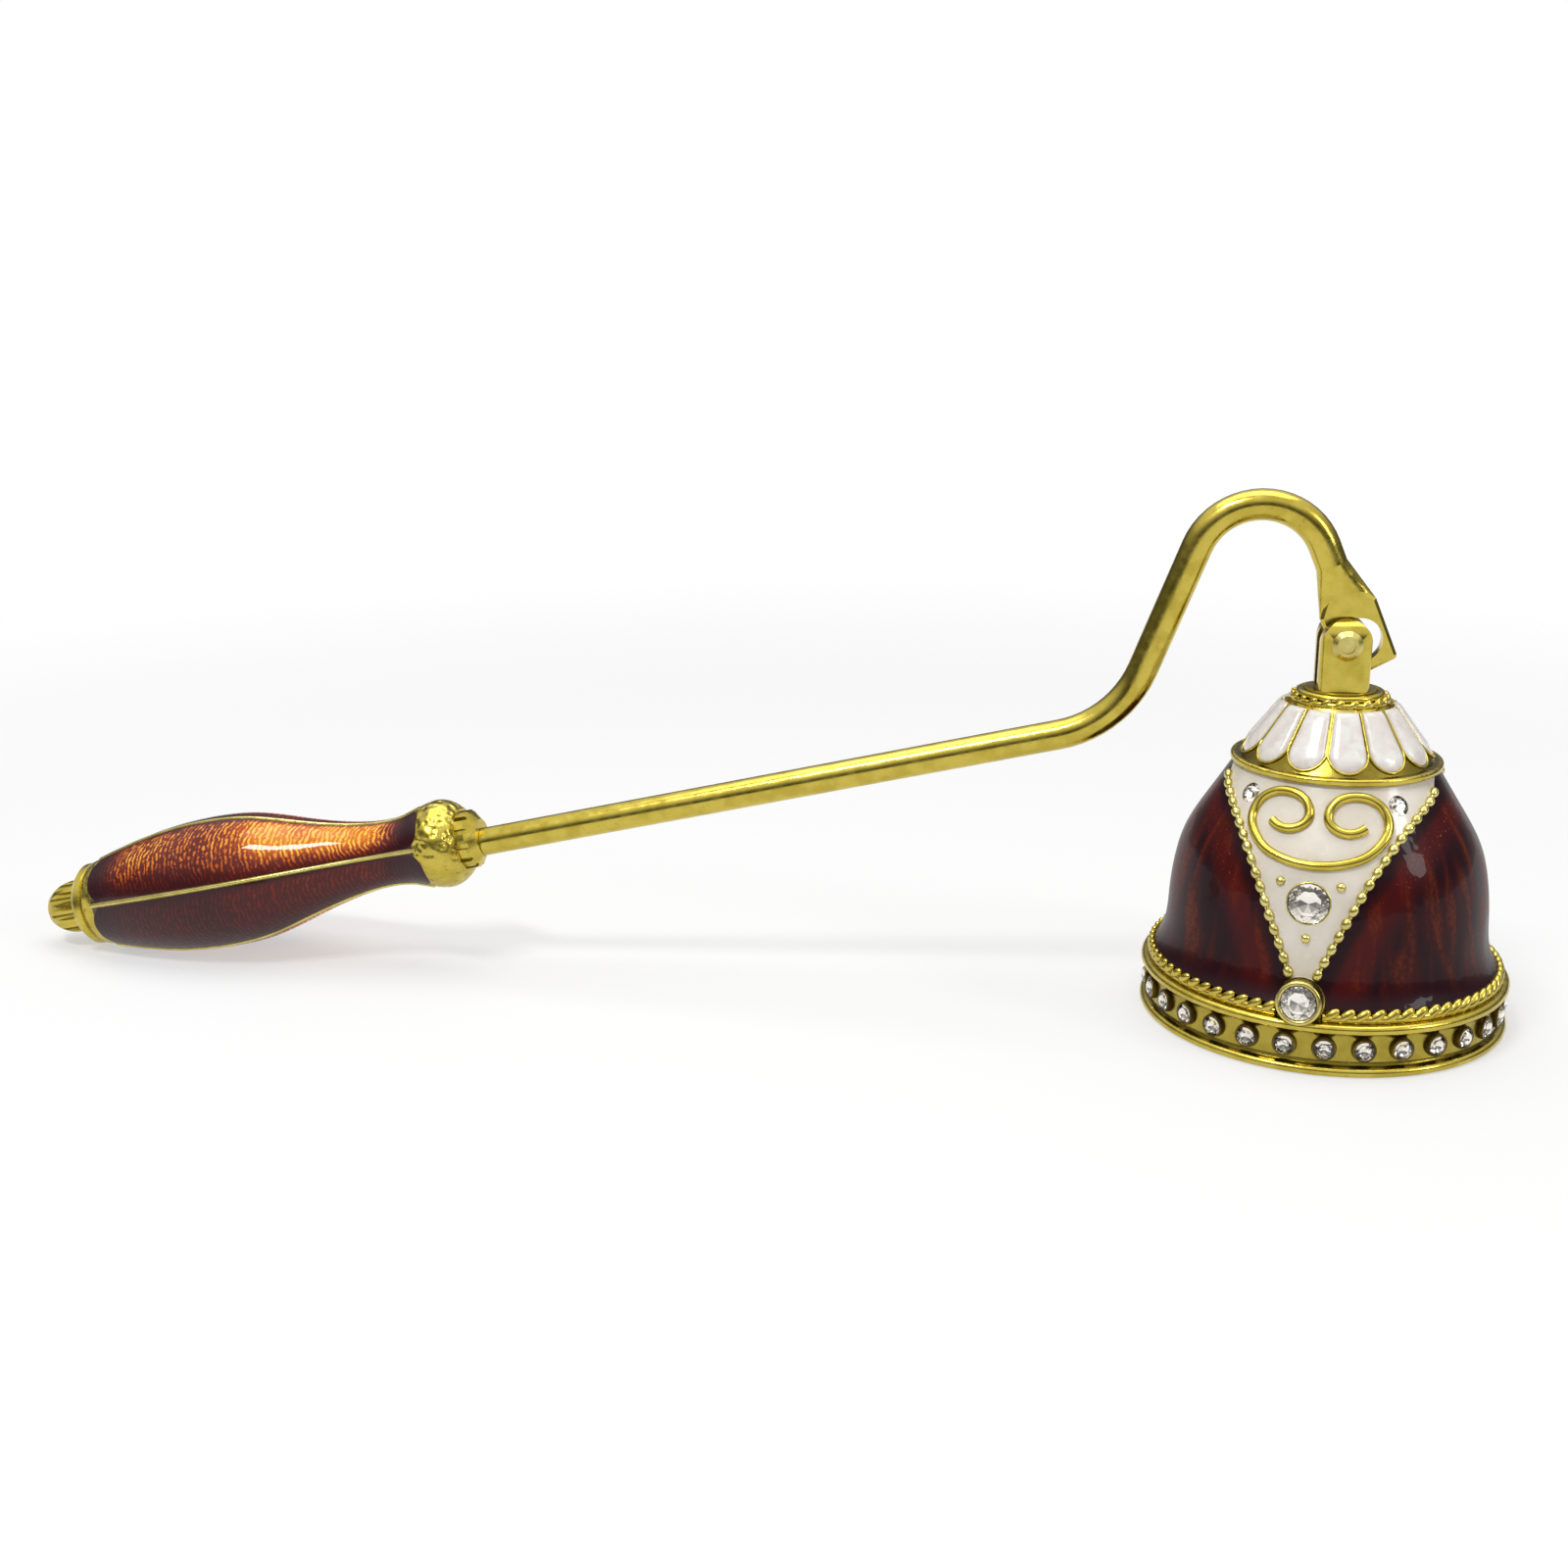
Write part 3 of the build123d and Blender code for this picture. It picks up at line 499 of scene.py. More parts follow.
def cup_gold():
    """The cup's gold, with painted shade darkening the recesses between the petals' round ends."""
    f = gold("cup_gold")
    x, y, z = f.parts(f.place)
    inward = f.span(f.vector("LENGTH", f.joined(x, y)), 11.35 * MM, 11.05 * MM)
    # Painted shade in the recesses under the petals' round ends
    painted_recess_shade = f.product(f.zone(z, 30.7, 30.95, 32.4, 33.6), inward, 0.6)
    f.colour(f.blend(painted_recess_shade, f.colour_so_far(), SPECK_AND_SHADE_GOLD))
    return f


def crystal_finish():
    """Clear cut glass: the crown is glass, and the faces marked as foil are a mirror behind it."""
    f = Finish("crystal", Roughness=0.02, IOR=1.6)
    foil = f.add("ShaderNodeAttribute", attribute_name="foil").outputs["Fac"]
    f.colour(f.blend(foil, (1.0, 1.0, 1.0), (0.95, 0.91, 0.84)))
    f.put(f.shader.inputs["Metallic"], foil)
    f.put(f.shader.inputs["Transmission Weight"], f.sum("SUBTRACT", 1.0, foil))
    return f


cast_gold = gold("cast_gold")
wire_gold = gold("drawn_gold", 0.18, grain=0.003, wave=0.006, speck=0.35)
# Painted highlight: the small round parts take the paler copy of the gold
painted_highlight_gold = gold("painted_highlight_gold", 0.24, grain=0.002, wave=0.006, speck=0.1, tint=PAINTED_HIGHLIGHT_GOLD)
clevis_gold = gold("clevis_gold", 0.20, wave=0.008, speck=0.06)
rope_gold = gold("rope_gold", 0.20, grain=0.002, wave=0.004, speck=0.1, tint=(0.58, 0.46, 0.09))
# Painted shade: near-black gold for the cups behind the rim's stones
seat_painted_shade_gold = gold("seat_painted_shade_gold", 0.35, speck=0.6, tint=(0.085, 0.050, 0.012))
seat_painted_shade_gold.shader.inputs["Metallic"].default_value = 0.7
rim_gold = band_gold()
crystal = crystal_finish()

finish_of_slot = {
    "gold": cast_gold,
    "red_enamel": red_enamel(),
    "white_enamel": cream_enamel(),
    "pearl_enamel": pearl_enamel(),
    "amber_enamel": amber_enamel(),
    "crystal": crystal,
}
finish_of_node = {
    "rim_band": rim_gold,
    "rod": wire_gold,
    "handle_casting": grip_gold(),
    "ferrule": gold("ferrule_gold", 0.24, speck=0.4),
    "bell_cup": cup_gold(),
    "clevis": clevis_gold,
    "hinge_pin": painted_highlight_gold,
}
slot_of = {part["node"]: part["material_slot"] for part in frame["record"]["subparts"]}
for name, node in nodes.items():
    finish = finish_of_node.get(name) or finish_of_slot[slot_of[name]]
    node.data.materials.clear()
    node.data.materials.append(finish.material)


# ---------------------------------------------------------------- rules for ornament

def wire_rule(finish):
    """Round wire along the seed's edges, with closed ends, repeated about Z."""
    rule = Rule("round_wire", wire_radius=0.0005, point_spacing=0.0003, copies=1)
    curve = rule.made("GeometryNodeMeshToCurve", {0: rule.inputs["Geometry"]})
    given = {"Curve": curve, "Length": rule.inputs["point_spacing"]}
    curve = rule.made("GeometryNodeResampleCurve", given, mode="LENGTH")
    wire = rule.tube(curve, rule.inputs["wire_radius"], 10)
    return rule.end(rule.repeated(wire), finish)


def bead_rule(finish):
    """Long beads in a row along the seed's edges, a little uneven in size, on a thin wire."""
    rule = Rule("bead_row", bead_width=0.001, bead_length=0.0015, spacing=0.0016,
                thread_radius=0.0002, seed=7)
    curve = rule.made("GeometryNodeMeshToCurve", {0: rule.inputs["Geometry"]})
    given = {"Curve": curve, "Length": rule.inputs["spacing"]}
    rows = rule.add("GeometryNodeCurveToPoints", given, mode="LENGTH").outputs
    ball = rule.made("GeometryNodeMeshUVSphere", {"Segments": 12, "Rings": 8, "Radius": 0.5})
    span = {2: 0.92, 3: 1.04, "Seed": rule.inputs["seed"]}
    uneven = rule.add("FunctionNodeRandomValue", span, data_type="FLOAT").outputs[1]
    width = rule.sum("MULTIPLY", rule.inputs["bead_width"], uneven)
    size = rule.joined(width, width, rule.inputs["bead_length"])
    beads = rule.copied(rows[0], ball, Rotation=rows["Rotation"], Scale=size)
    return rule.end(rule.together(beads, rule.tube(curve, rule.inputs["thread_radius"], 8)), finish)


def rope_rule(finish):
    """A cast rope on an arc about Z: slanted lobes that overlap, over a round core."""
    rule = Rule("cast_rope", ring_radius=0.0195, ring_height=0.0065, lobe_length=0.0022,
                lobe_width=0.0009, slant=0.7, start_turn=0.0, end_turn=6.2832,
                core_radius=0.0004, core_drop=0.0002, lobes=72, core_points=120)
    given = rule.inputs
    span = rule.sum("SUBTRACT", given["end_turn"], given["start_turn"])

    share = rule.sum("ADD", rule.made("GeometryNodeInputIndex"), 0.5)
    share = rule.sum("DIVIDE", share, given["lobes"])
    turn = rule.sum("MULTIPLY_ADD", share, span, given["start_turn"])
    place = rule.on_ring(given["ring_radius"], turn, given["ring_height"])
    spots = rule.made("GeometryNodePoints", {"Count": given["lobes"], "Position": place})
    ball = rule.made("GeometryNodeMeshUVSphere", {"Segments": 14, "Rings": 10, "Radius": 0.5})
    size = rule.joined(given["lobe_length"], given["lobe_width"], given["lobe_width"])
    facing = rule.joined(y=given["slant"], z=turn)
    lobes = rule.copied(spots, ball, Rotation=facing, Scale=size)

    line = rule.made("GeometryNodeCurvePrimitiveLine", {1: (1, 0, 0)})
    line = rule.made("GeometryNodeResampleCurve", {"Curve": line, "Count": given["core_points"]})
    along = rule.made("GeometryNodeSplineParameter")
    turn = rule.sum("MULTIPLY_ADD", along, span, given["start_turn"])
    low = rule.sum("SUBTRACT", given["ring_height"], given["core_drop"])
    place = rule.on_ring(given["ring_radius"], turn, low)
    bent = rule.made("GeometryNodeSetPosition", {"Geometry": line, "Position": place})
    core = rule.tube(bent, given["core_radius"], 10)
    return rule.end(rule.together(lobes, core), finish)


def stone_ring_rule(finish, smooth):
    """The seed set round a band, facing outwards."""
    rule = Rule("stone_ring", floor_radius=0.0204, height=0.0035, first_turn=0.0,
                copies=RIM_STONES)
    given = rule.inputs
    step = rule.sum("DIVIDE", 2 * pi, given["copies"])
    index = rule.made("GeometryNodeInputIndex")
    turn = rule.sum("MULTIPLY_ADD", index, step, given["first_turn"])
    place = rule.on_ring(given["floor_radius"], turn, given["height"])
    spots = rule.made("GeometryNodePoints", {"Count": given["copies"], "Position": place})
    facing = rule.joined(x=pi / 2, z=turn)
    return rule.end(rule.copied(spots, given["Geometry"], Rotation=facing), finish, smooth)


def petal_rule(finish):
    """The seed petal, repeated about Z."""
    rule = Rule("petal_ring", copies=PETALS)
    return rule.end(rule.repeated(rule.inputs["Geometry"]), finish)


wires = wire_rule(wire_gold)
crests = wire_rule(painted_highlight_gold)
beading = bead_rule(painted_highlight_gold)
ropes = rope_rule(rope_gold)
stone_ring = stone_ring_rule(crystal, smooth=False)
seat_ring = stone_ring_rule(seat_painted_shade_gold, smooth=True)
petal_ring = petal_rule(finish_of_slot["pearl_enamel"])


# ---------------------------------------------------------------- shapes

def shell_of(*names):
    """A tree of these solids' outsides, for laying ornament on them."""
    points, faces = [], []
    for name in names:
        mesh = nodes[name].data
        start = len(points)
        points += [v.co.copy() for v in mesh.vertices]
        faces += [[start + i for i in face.vertices] for face in mesh.polygons]
    return BVHTree.FromPolygons(points, faces)


wall = shell_of(
    "panel_enamel_front", "panel_enamel_back", "red_enamel_left", "red_enamel_right")
handle_skin = shell_of("handle_casting")


def around(turn, radius, height):
    """A point at a turn from the front, in the units of its radius and height."""
    return Vector((radius * sin(turn), -radius * cos(turn), height))


def facing(out, at):
    """A placing that puts Z along the direction, at the point."""
    return Matrix.Translation(at) @ out.to_track_quat("Z", "Y").to_matrix().to_4x4()


def on_wall(azimuth, offset, height, lift):
    """The point on the bell's wall at an offset from a panel's centre line, in millimetres."""
    across = Vector((cos(azimuth), sin(azimuth), 0))
    out = around(azimuth, 1, 0)
    start = across * offset * MM + out * 0.05 + Vector((0, 0, height * MM))
    point, normal, _, _ = wall.ray_cast(start, -out)
    if normal.dot(out) < 0:
        normal = -normal
    return point + normal * lift * MM


def rounded(points, rounds):
    """The points with corners cut by Chaikin's rule, the ends kept."""
    for _ in range(rounds):
        finer = [points[0]]
        for ends in zip(points, points[1:]):
            finer.append(tuple(a * 0.75 + b * 0.25 for a, b in zip(*ends)))
            finer.append(tuple(a * 0.25 + b * 0.75 for a, b in zip(*ends)))
        points = finer + [points[-1]]
    return points


def line_mesh(name, *lines):
    """Open lines as a mesh of edges."""
    points, edges = [], []
    for line in lines:
        start = len(points)
        points += list(line)
        edges += [(start + k, start + k + 1) for k in range(len(line) - 1)]
    return mesh_of(name, points, edges)


def finished(mesh, finish):
    """The mesh with smooth faces and its finish."""
    for face in mesh.polygons:
        face.use_smooth = True
    mesh.materials.append(finish.material)
    return mesh


def turned(name, outline, steps, finish, place=None):
    """A ring turned from a closed outline of radius and height, in millimetres."""
    points, faces, count = [], [], len(outline)
    for k in range(steps):
        turn, after = 2 * pi * k / steps, (k + 1) % steps
        points += [around(turn, r, z) * MM for r, z in outline]
        for i in range(count):
            j = (i + 1) % count
            faces.append((k * count + i, after * count + i, after * count + j, k * count + j))
    if place is not None:
        points = [place @ p for p in points]
    return finished(mesh_of(name, points, faces=faces), finish)


def arc(centre_r, centre_z, radius, start, end, steps=8):
    """Points of an arc in a ring's outline, the angles in degrees from straight out."""
    angles = [radians(start + (end - start) * k / steps) for k in range(steps + 1)]
    return [(centre_r + radius * cos(a), centre_z + radius * sin(a)) for a in angles]


def placed(piece, body, slot_name, *replaced):
    """Closes seams, faces outwards and hangs the piece on its body."""
    mesh = piece.data
    work = bmesh.new()
    work.from_mesh(mesh)
    bmesh.ops.remove_doubles(work, verts=work.verts, dist=1e-6)
    bmesh.ops.recalc_face_normals(work, faces=work.faces)
    work.to_mesh(mesh)
    work.free()
    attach(piece, body)
    if replaced:
        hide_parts(*replaced)
    return piece


# ---------------------------------------------------------------- panels and ropes

scroll_half = rounded(list(SCROLL), 3)
scroll_line = [(-x, z) for x, z in reversed(scroll_half)] + scroll_half[1:]
beading_line = [
    (x, z) for x, z in rounded(list(PANEL_SIDE), 2) if BEADING_FROM < z < BEADING_TO]

for side, azimuth in (("front", PANEL_TURN), ("back", PANEL_TURN + pi)):
    rows = [
        [on_wall(azimuth, hand * x, z, ORNAMENT_LIFT) for x, z in beading_line]
        for hand in (-1, 1)]
    beads = grown(
        f"panel_beading_{side}", line_mesh("beading", *rows), beading,
        bead_width=1.12 * MM, bead_length=1.5 * MM, spacing=1.6 * MM, thread_radius=0.25 * MM)
    placed(beads, "bell", "gold", f"panel_border_{side}")
    curl = [on_wall(azimuth, x, z, ORNAMENT_LIFT) for x, z in scroll_line]
    scroll = grown(
        f"scroll_wire_{side}", line_mesh("scroll", curl), wires,
        wire_radius=0.55 * MM, point_spacing=0.35 * MM, copies=1)
    placed(scroll, "bell", "gold", f"panel_scroll_{side}")


def rope(name, node, arcs, **sizes):
    """A rope over each of the arcs, as one piece."""
    runs = [
        grown(f"{name}_{k}", mesh_of("rope", [(0, 0, 0)]), ropes,
              start_turn=start, end_turn=end, **sizes)
        for k, (start, end) in enumerate(arcs)]
    whole = bmesh.new()
    for run in runs:
        whole.from_mesh(run.data)
    mesh = runs[0].data.copy()
    whole.to_mesh(mesh)
    whole.free()
    for run in runs:
        bpy.data.objects.remove(run)
    placed(added(name, mesh), "bell", "gold", node)


# The rim's rope stops at both apex stones
gap = radians(7.3)
half_arcs = [(turn + gap, turn + pi - gap) for turn in (PANEL_TURN, PANEL_TURN + pi)]
rope("rim_twist", "rim_rope", half_arcs,
     ring_radius=19.65 * MM, ring_height=6.72 * MM, lobe_length=2.45 * MM, lobe_width=1.16 * MM,
     slant=radians(-42), core_radius=0.5 * MM, core_drop=0.3 * MM, lobes=35, core_points=160)
rope("crown_twist", "crown_rope", [(0.0, 2 * pi)],
     ring_radius=5.12 * MM, ring_height=37.78 * MM, lobe_length=1.7 * MM, lobe_width=0.85 * MM,
     slant=radians(-40), core_radius=0.38 * MM, core_drop=0.12 * MM, lobes=21, core_points=100)


# ---------------------------------------------------------------- rings and stones

def brilliant(name, radius, depth):
    """A round stone of eight star facets, eight kites and sixteen girdle facets, foiled behind."""
    table, mid, crown, culet = 0.46 * radius, 0.74 * radius, 0.34 * radius, 0.55 * radius

    def ring(r, z, count, shift=0.0):
        turns = [2 * pi * (k + shift) / count for k in range(count)]
        return [(r * cos(turn), r * sin(turn), z) for turn in turns]

    points = ring(table, crown, 8, 0.5) + ring(mid, 0.62 * crown, 8) + ring(radius, 0, 16)
    points += ring(culet, -0.7 * depth, 8, 0.5) + [(0, 0, -depth)]
    star, girdle, back, point = 8, 16, 32, 40
    faces = [tuple(range(8))]
    for k in range(8):
        last, after = (k - 1) % 8, (k + 1) % 8
        here, left, right = girdle + 2 * k, girdle + (2 * k - 1) % 16, girdle + 2 * k + 1
        faces += [
            (last, star + k, k), (k, star + k, right, star + after),
            (star + k, here, right), (star + k, left, here),
        ]
    front = len(faces)
    for k in range(8):
        here, right, beyond = girdle + 2 * k, girdle + 2 * k + 1, girdle + (2 * k + 2) % 16
        one, other = back + k, back + (k + 1) % 8
        faces += [
            (right, here, one), (beyond, right, one),
            (beyond, one, other), (one, point, other),
        ]
    mesh = mesh_of(name, points, faces=faces)
    foil = mesh.attributes.new("foil", "FLOAT", "FACE")
    foil.data.foreach_set("value", [0.0] * front + [1.0] * (len(faces) - front))
    mesh.materials.append(crystal.material)
    return mesh


def stone_at(name, node, radius, depth):
    """A cut stone in the place of a solid one, which gives its centre and facing."""
    solid = nodes[node].data
    middle = sum((v.co for v in solid.vertices), Vector()) / len(solid.vertices)
    outward = Vector((middle.x, middle.y, 0))
    table = max(solid.polygons, key=lambda face: face.area * (face.normal.dot(outward) > 0))
    out = table.normal.copy()
    reach = max(v.co.dot(out) for v in solid.vertices)
    middle += out * (reach - 0.3 * radius * MM - middle.dot(out))
    piece = added(name, brilliant(name, radius * MM, depth * MM))
    place = facing(out, middle)
    piece.data.transform(place)
    placed(piece, "bell", "crystal", node)
    return place


def ring_of(name, outline, steps, finish, *replaced, place=None):
    placed(added(name, turned(name, outline, steps, finish, place)), "bell", "gold", *replaced)


# The rim band: a round lip each side of the channel that holds the stones
BORE, FLAT, BAND_HEIGHT = 18.4, 19.4, 6.0
CHANNEL = [(20.2, 1.08), (19.95, 1.2), (19.93, 1.8), (19.93, 4.2), (19.95, 4.75), (20.2, 4.86)]
band_outline = [(BORE, 0.0), (FLAT, 0.0)] + arc(20.38, 0.52, 0.52, -90, 80) + CHANNEL
band_outline += arc(20.33, 5.43, 0.57, -85, 90) + [(FLAT, BAND_HEIGHT), (BORE, BAND_HEIGHT)]
ring_of("rim_band_turned", band_outline, 240, rim_gold, "rim_band")
crown_outline = [(3.9, 38.0)] + arc(4.5, 38.3, 0.42, -90, 90) + [(3.9, 38.72)]
ring_of("crown_ring", crown_outline, 96, cast_gold)

# A cup behind each of the band's stones, near-black with painted shade
cup_outline = [(0.5, -0.42), (1.06, -0.02)] + arc(1.18, -0.06, 0.12, 110, 0, 4) + [(1.36, -0.5)]
seats = grown(
    "stone_seats", turned("seat", cup_outline, 20, seat_painted_shade_gold), seat_ring,
    floor_radius=20.4 * MM, height=RIM_STONE_HEIGHT, first_turn=FIRST_RIM_STONE,
    copies=RIM_STONES)
placed(seats, "bell", "gold")

# The panels' stones: radius and depth, in millimetres
STONES = {"centre": (2.2, 0.55), "left": (1.15, 0.5), "right": (1.15, 0.5), "apex": (1.88, 0.5)}
setting_outline = [(2.0, -0.5), (2.16, -0.2)] + arc(2.28, -0.2, 0.13, 160, 0, 6) + [(2.41, -0.5)]
collet_outline = [(1.3, -0.75), (1.86, -0.12)] + arc(2.16, -0.22, 0.3, 150, 0)
collet_outline += [(2.46, -2.2), (1.3, -2.2)]
collet_lean = radians(12)

for side, azimuth in (("front", PANEL_TURN), ("back", PANEL_TURN + pi)):
    for where, size in STONES.items():
        place = stone_at(f"{where}_stone_{side}", f"{where}_crystal_{side}", *size)
        if where == "centre":
            ring_of(f"setting_{side}", setting_outline, 48, painted_highlight_gold, place=place)
    collet_out = around(azimuth, cos(collet_lean), sin(collet_lean))
    collet_place = facing(collet_out, around(azimuth, 20.65, 8.1) * MM)
    ring_of(f"collet_{side}", collet_outline, 56, painted_highlight_gold, f"apex_collet_{side}",
            place=collet_place)

rim_stones = grown(
    "rim_stones", brilliant("rim_stone", 1.06 * MM, 0.42 * MM), stone_ring,
    floor_radius=20.42 * MM, height=RIM_STONE_HEIGHT, first_turn=FIRST_RIM_STONE,
    copies=RIM_STONES)
placed(rim_stones, "bell", "crystal", "rim_crystals")


# ---------------------------------------------------------------- studs

def islands(work):
    """The separate solids of a bmesh, each as a list of its vertices."""
    groups, seen = [], set()
    for start in work.verts:
        if start in seen:
            continue
        seen.add(start)
        group, edge_of_group = [], [start]
        while edge_of_group:
            vertex = edge_of_group.pop()
            group.append(vertex)
            for edge in vertex.link_edges:
                other = edge.other_vert(vertex)
                if other not in seen:
                    seen.add(other)
                    edge_of_group.append(other)
        groups.append(group)
    return groups


def studs(name, node, radius):
    """Round-headed studs in the place of the plain ones."""
    sink, flattening = 0.3 * MM, 0.85
    work, whole = bmesh.new(), bmesh.new()
    work.from_mesh(nodes[node].data)
    bmesh.ops.remove_doubles(work, verts=work.verts, dist=1e-6)
    for group in islands(work):
        centre = sum((v.co for v in group), Vector()) / len(group)
        outward = Vector((centre.x, centre.y, 0)).normalized()
        faces = dict.fromkeys(face for v in group for face in v.link_faces)
        head = max(faces, key=lambda face: face.normal.dot(outward) * face.calc_area())
        out = head.normal.copy()
        top = max(v.co.dot(out) for v in group)
        seat = centre + out * (top - centre.dot(out) - sink)
        place = facing(out, seat) @ Matrix.Diagonal((1, 1, flattening, 1))
        bmesh.ops.create_uvsphere(
            whole, u_segments=20, v_segments=12, radius=radius * MM, matrix=place)
    mesh = bpy.data.meshes.new(name)
    whole.to_mesh(mesh)
    work.free()
    whole.free()
    placed(added(name, finished(mesh, painted_highlight_gold)), "bell", "gold", node)


for side in ("front", "back"):
    studs(f"round_studs_{side}", f"panel_studs_{side}", 0.52)


# ---------------------------------------------------------------- petals

cone_run, cone_rise = FOOT_RADIUS - TOP_RADIUS, TOP_HEIGHT - FOOT_HEIGHT
slope = (cone_run ** 2 + cone_rise ** 2) ** 0.5
half_petal_turn = pi / PETALS


def on_cone(across, along, lift):
    """The point at a distance up the cone's slope and a distance sideways, at the first petal."""
    share = along / slope
    radius = FOOT_RADIUS - cone_run * share
    turn = PANEL_TURN + half_petal_turn + across / radius
    height = FOOT_HEIGHT + cone_rise * share
    return around(turn, radius + lift * cone_rise / slope, height + lift * cone_run / slope) * MM


def sector_half(along):
    return (FOOT_RADIUS - cone_run * along / slope) * sin(half_petal_turn)


def petal_half(along, inset):
    """Half a petal's width: it fills its sector, and its foot is a half ellipse."""
    full = sector_half(along) - inset
    if along >= PETAL_WIDEST:
        return full
    short = (PETAL_WIDEST - along) / (PETAL_WIDEST - PETAL_TIP - inset)
    return full * max(0.0, 1 - short ** 2) ** 0.5


def petal_wire_lines():
    """The wires of one petal: its side, and the half ellipse round its tip."""
    side = [(sector_half(along), along) for along in (7.7, 6.8, 6.0, 5.2, 4.4, 3.6, 3.0, 2.7)]
    half, reach, steps = petal_half(PETAL_WIDEST, 0.0), PETAL_WIDEST - PETAL_TIP, 24
    turns = [pi * k / steps for k in range(steps + 1)]
    tip = [(half * cos(turn), PETAL_WIDEST - reach * sin(turn)) for turn in turns]
    return [[on_cone(x, y, ORNAMENT_LIFT) for x, y in line] for line in (side, tip)]


def petal_mesh():
    """One petal, cushioned: thin at its edges and full along its middle, with a closed back."""
    rows, columns = 24, 12
    tip, top, inset = 0.5, 7.75, 0.07
    edge_lift, fullness, back_lift = -0.12, 0.56, -0.5
    points, backs, faces = [], [], []
    for r in range(rows + 1):
        along = tip + (top - tip) * (r / rows) ** 1.3
        half = petal_half(along, inset)
        end = max(0.0, min(1.0, (along - 0.45) / 1.4, (8.0 - along) / 0.8))
        for c in range(columns + 1):
            share = 2 * c / columns - 1
            rise = (1 - share ** 4) ** 0.5 * end ** 0.5
            points.append(on_cone(half * share, along, edge_lift + fullness * rise))
            backs.append(on_cone(half * share, along, back_lift))
    behind, width = len(points), columns + 1
    for r in range(rows):
        for c in range(columns):
            k = r * width + c
            front = (k, k + width, k + width + 1, k + 1)
            faces += [front, tuple(behind + i for i in reversed(front))]
    last = rows * width
    rim = list(range(width)) + [r * width + columns for r in range(1, rows + 1)]
    rim += [last + c for c in range(columns - 1, -1, -1)]
    rim += [r * width for r in range(rows - 1, 0, -1)]
    for one, other in zip(rim, rim[1:] + rim[:1]):
        faces.append((one, other, behind + other, behind + one))
    return mesh_of("petal", points + backs, faces=faces)


petal_wires = grown(
    "petal_wires", line_mesh("petal_wire", *petal_wire_lines()), wires,
    wire_radius=0.13 * MM, point_spacing=0.3 * MM, copies=PETALS)
placed(petal_wires, "bell", "gold")
petals = grown("petals", petal_mesh(), petal_ring, copies=PETALS)
plain_petals = [f"petal_enamel_{k:02d}" for k in range(1, PETALS + 1)]
placed(petals, "bell", "pearl_enamel", *plain_petals)


# ---------------------------------------------------------------- the handle's ribs

def rib_line():
    """Along the handle's first rib, sunk a little into the casting's skin."""
    start, length, steps, sink = 7.0, 45.8, 60, 0.04
    out = Vector((0, -1, 0)) * cos(FIRST_RIB) + HANDLE_UP * sin(FIRST_RIB)
    line = []
    for k in range(steps + 1):
        middle = HANDLE_FRONT + HANDLE_AXIS * ((start + length * k / steps) * MM)
        point, _, _, _ = handle_skin.ray_cast(middle + out * 0.02, -out)
        line.append(point - out * sink * MM)
    return line


# The ribs' round crests, turned from the first one about the handle's axis
of_handle = Matrix((HANDLE_UP.cross(HANDLE_AXIS), HANDLE_UP, HANDLE_AXIS)).transposed().to_4x4()
of_handle.translation = HANDLE_FRONT
to_handle = of_handle.inverted()
first_rib = line_mesh("rib", [to_handle @ point for point in rib_line()])
rib_crests = grown(
    "rib_crests", first_rib, crests,
    wire_radius=0.22 * MM, point_spacing=0.8 * MM, copies=RIBS)
rib_crests.data.transform(of_handle)
placed(rib_crests, "wand", "gold")


# ---------------------------------------------------------------- floor, light and camera

OBJECT_MIDDLE = (-0.07, 0, 0.02)


def floor():
    """A pale floor that takes the shadow near the object and turns white further out."""
    f = Finish("pale_floor", Roughness=0.6)
    x, y, _ = f.parts(f.place)
    away = f.vector("LENGTH", f.joined(f.sum("SUBTRACT", x, OBJECT_MIDDLE[0]), y))
    f.colour((0.86, 0.86, 0.86, 1))
    mix = f.add("ShaderNodeMixShader")
    f.put(mix.inputs[0], f.span(away, 0.12, 0.34, 0.5, 1.0))
    f.put(mix.inputs[1], f.shader.outputs[0])
    f.put(mix.inputs[2], f.add("ShaderNodeEmission").outputs[0])
    out = next(n for n in f.tree.nodes if n.type == "OUTPUT_MATERIAL")
    f.put(out.inputs["Surface"], mix.outputs[0])
    reach = 3.0
    corners = [(-reach, -reach, 0), (reach, -reach, 0), (reach, reach, 0), (-reach, reach, 0)]
    piece = added("floor", mesh_of("floor", corners, faces=[(0, 1, 2, 3)]))
    piece.location.z = -0.02 * MM
    piece.data.materials.append(f.material)


# The room's light by height of direction, from straight down to straight up
ROOM = ((0.0, 0.30), (0.10, 0.06), (0.30, 0.20), (0.62, 1.0))
SOFT_LIGHT, SEEN_LIGHT = 0.4, 1.0


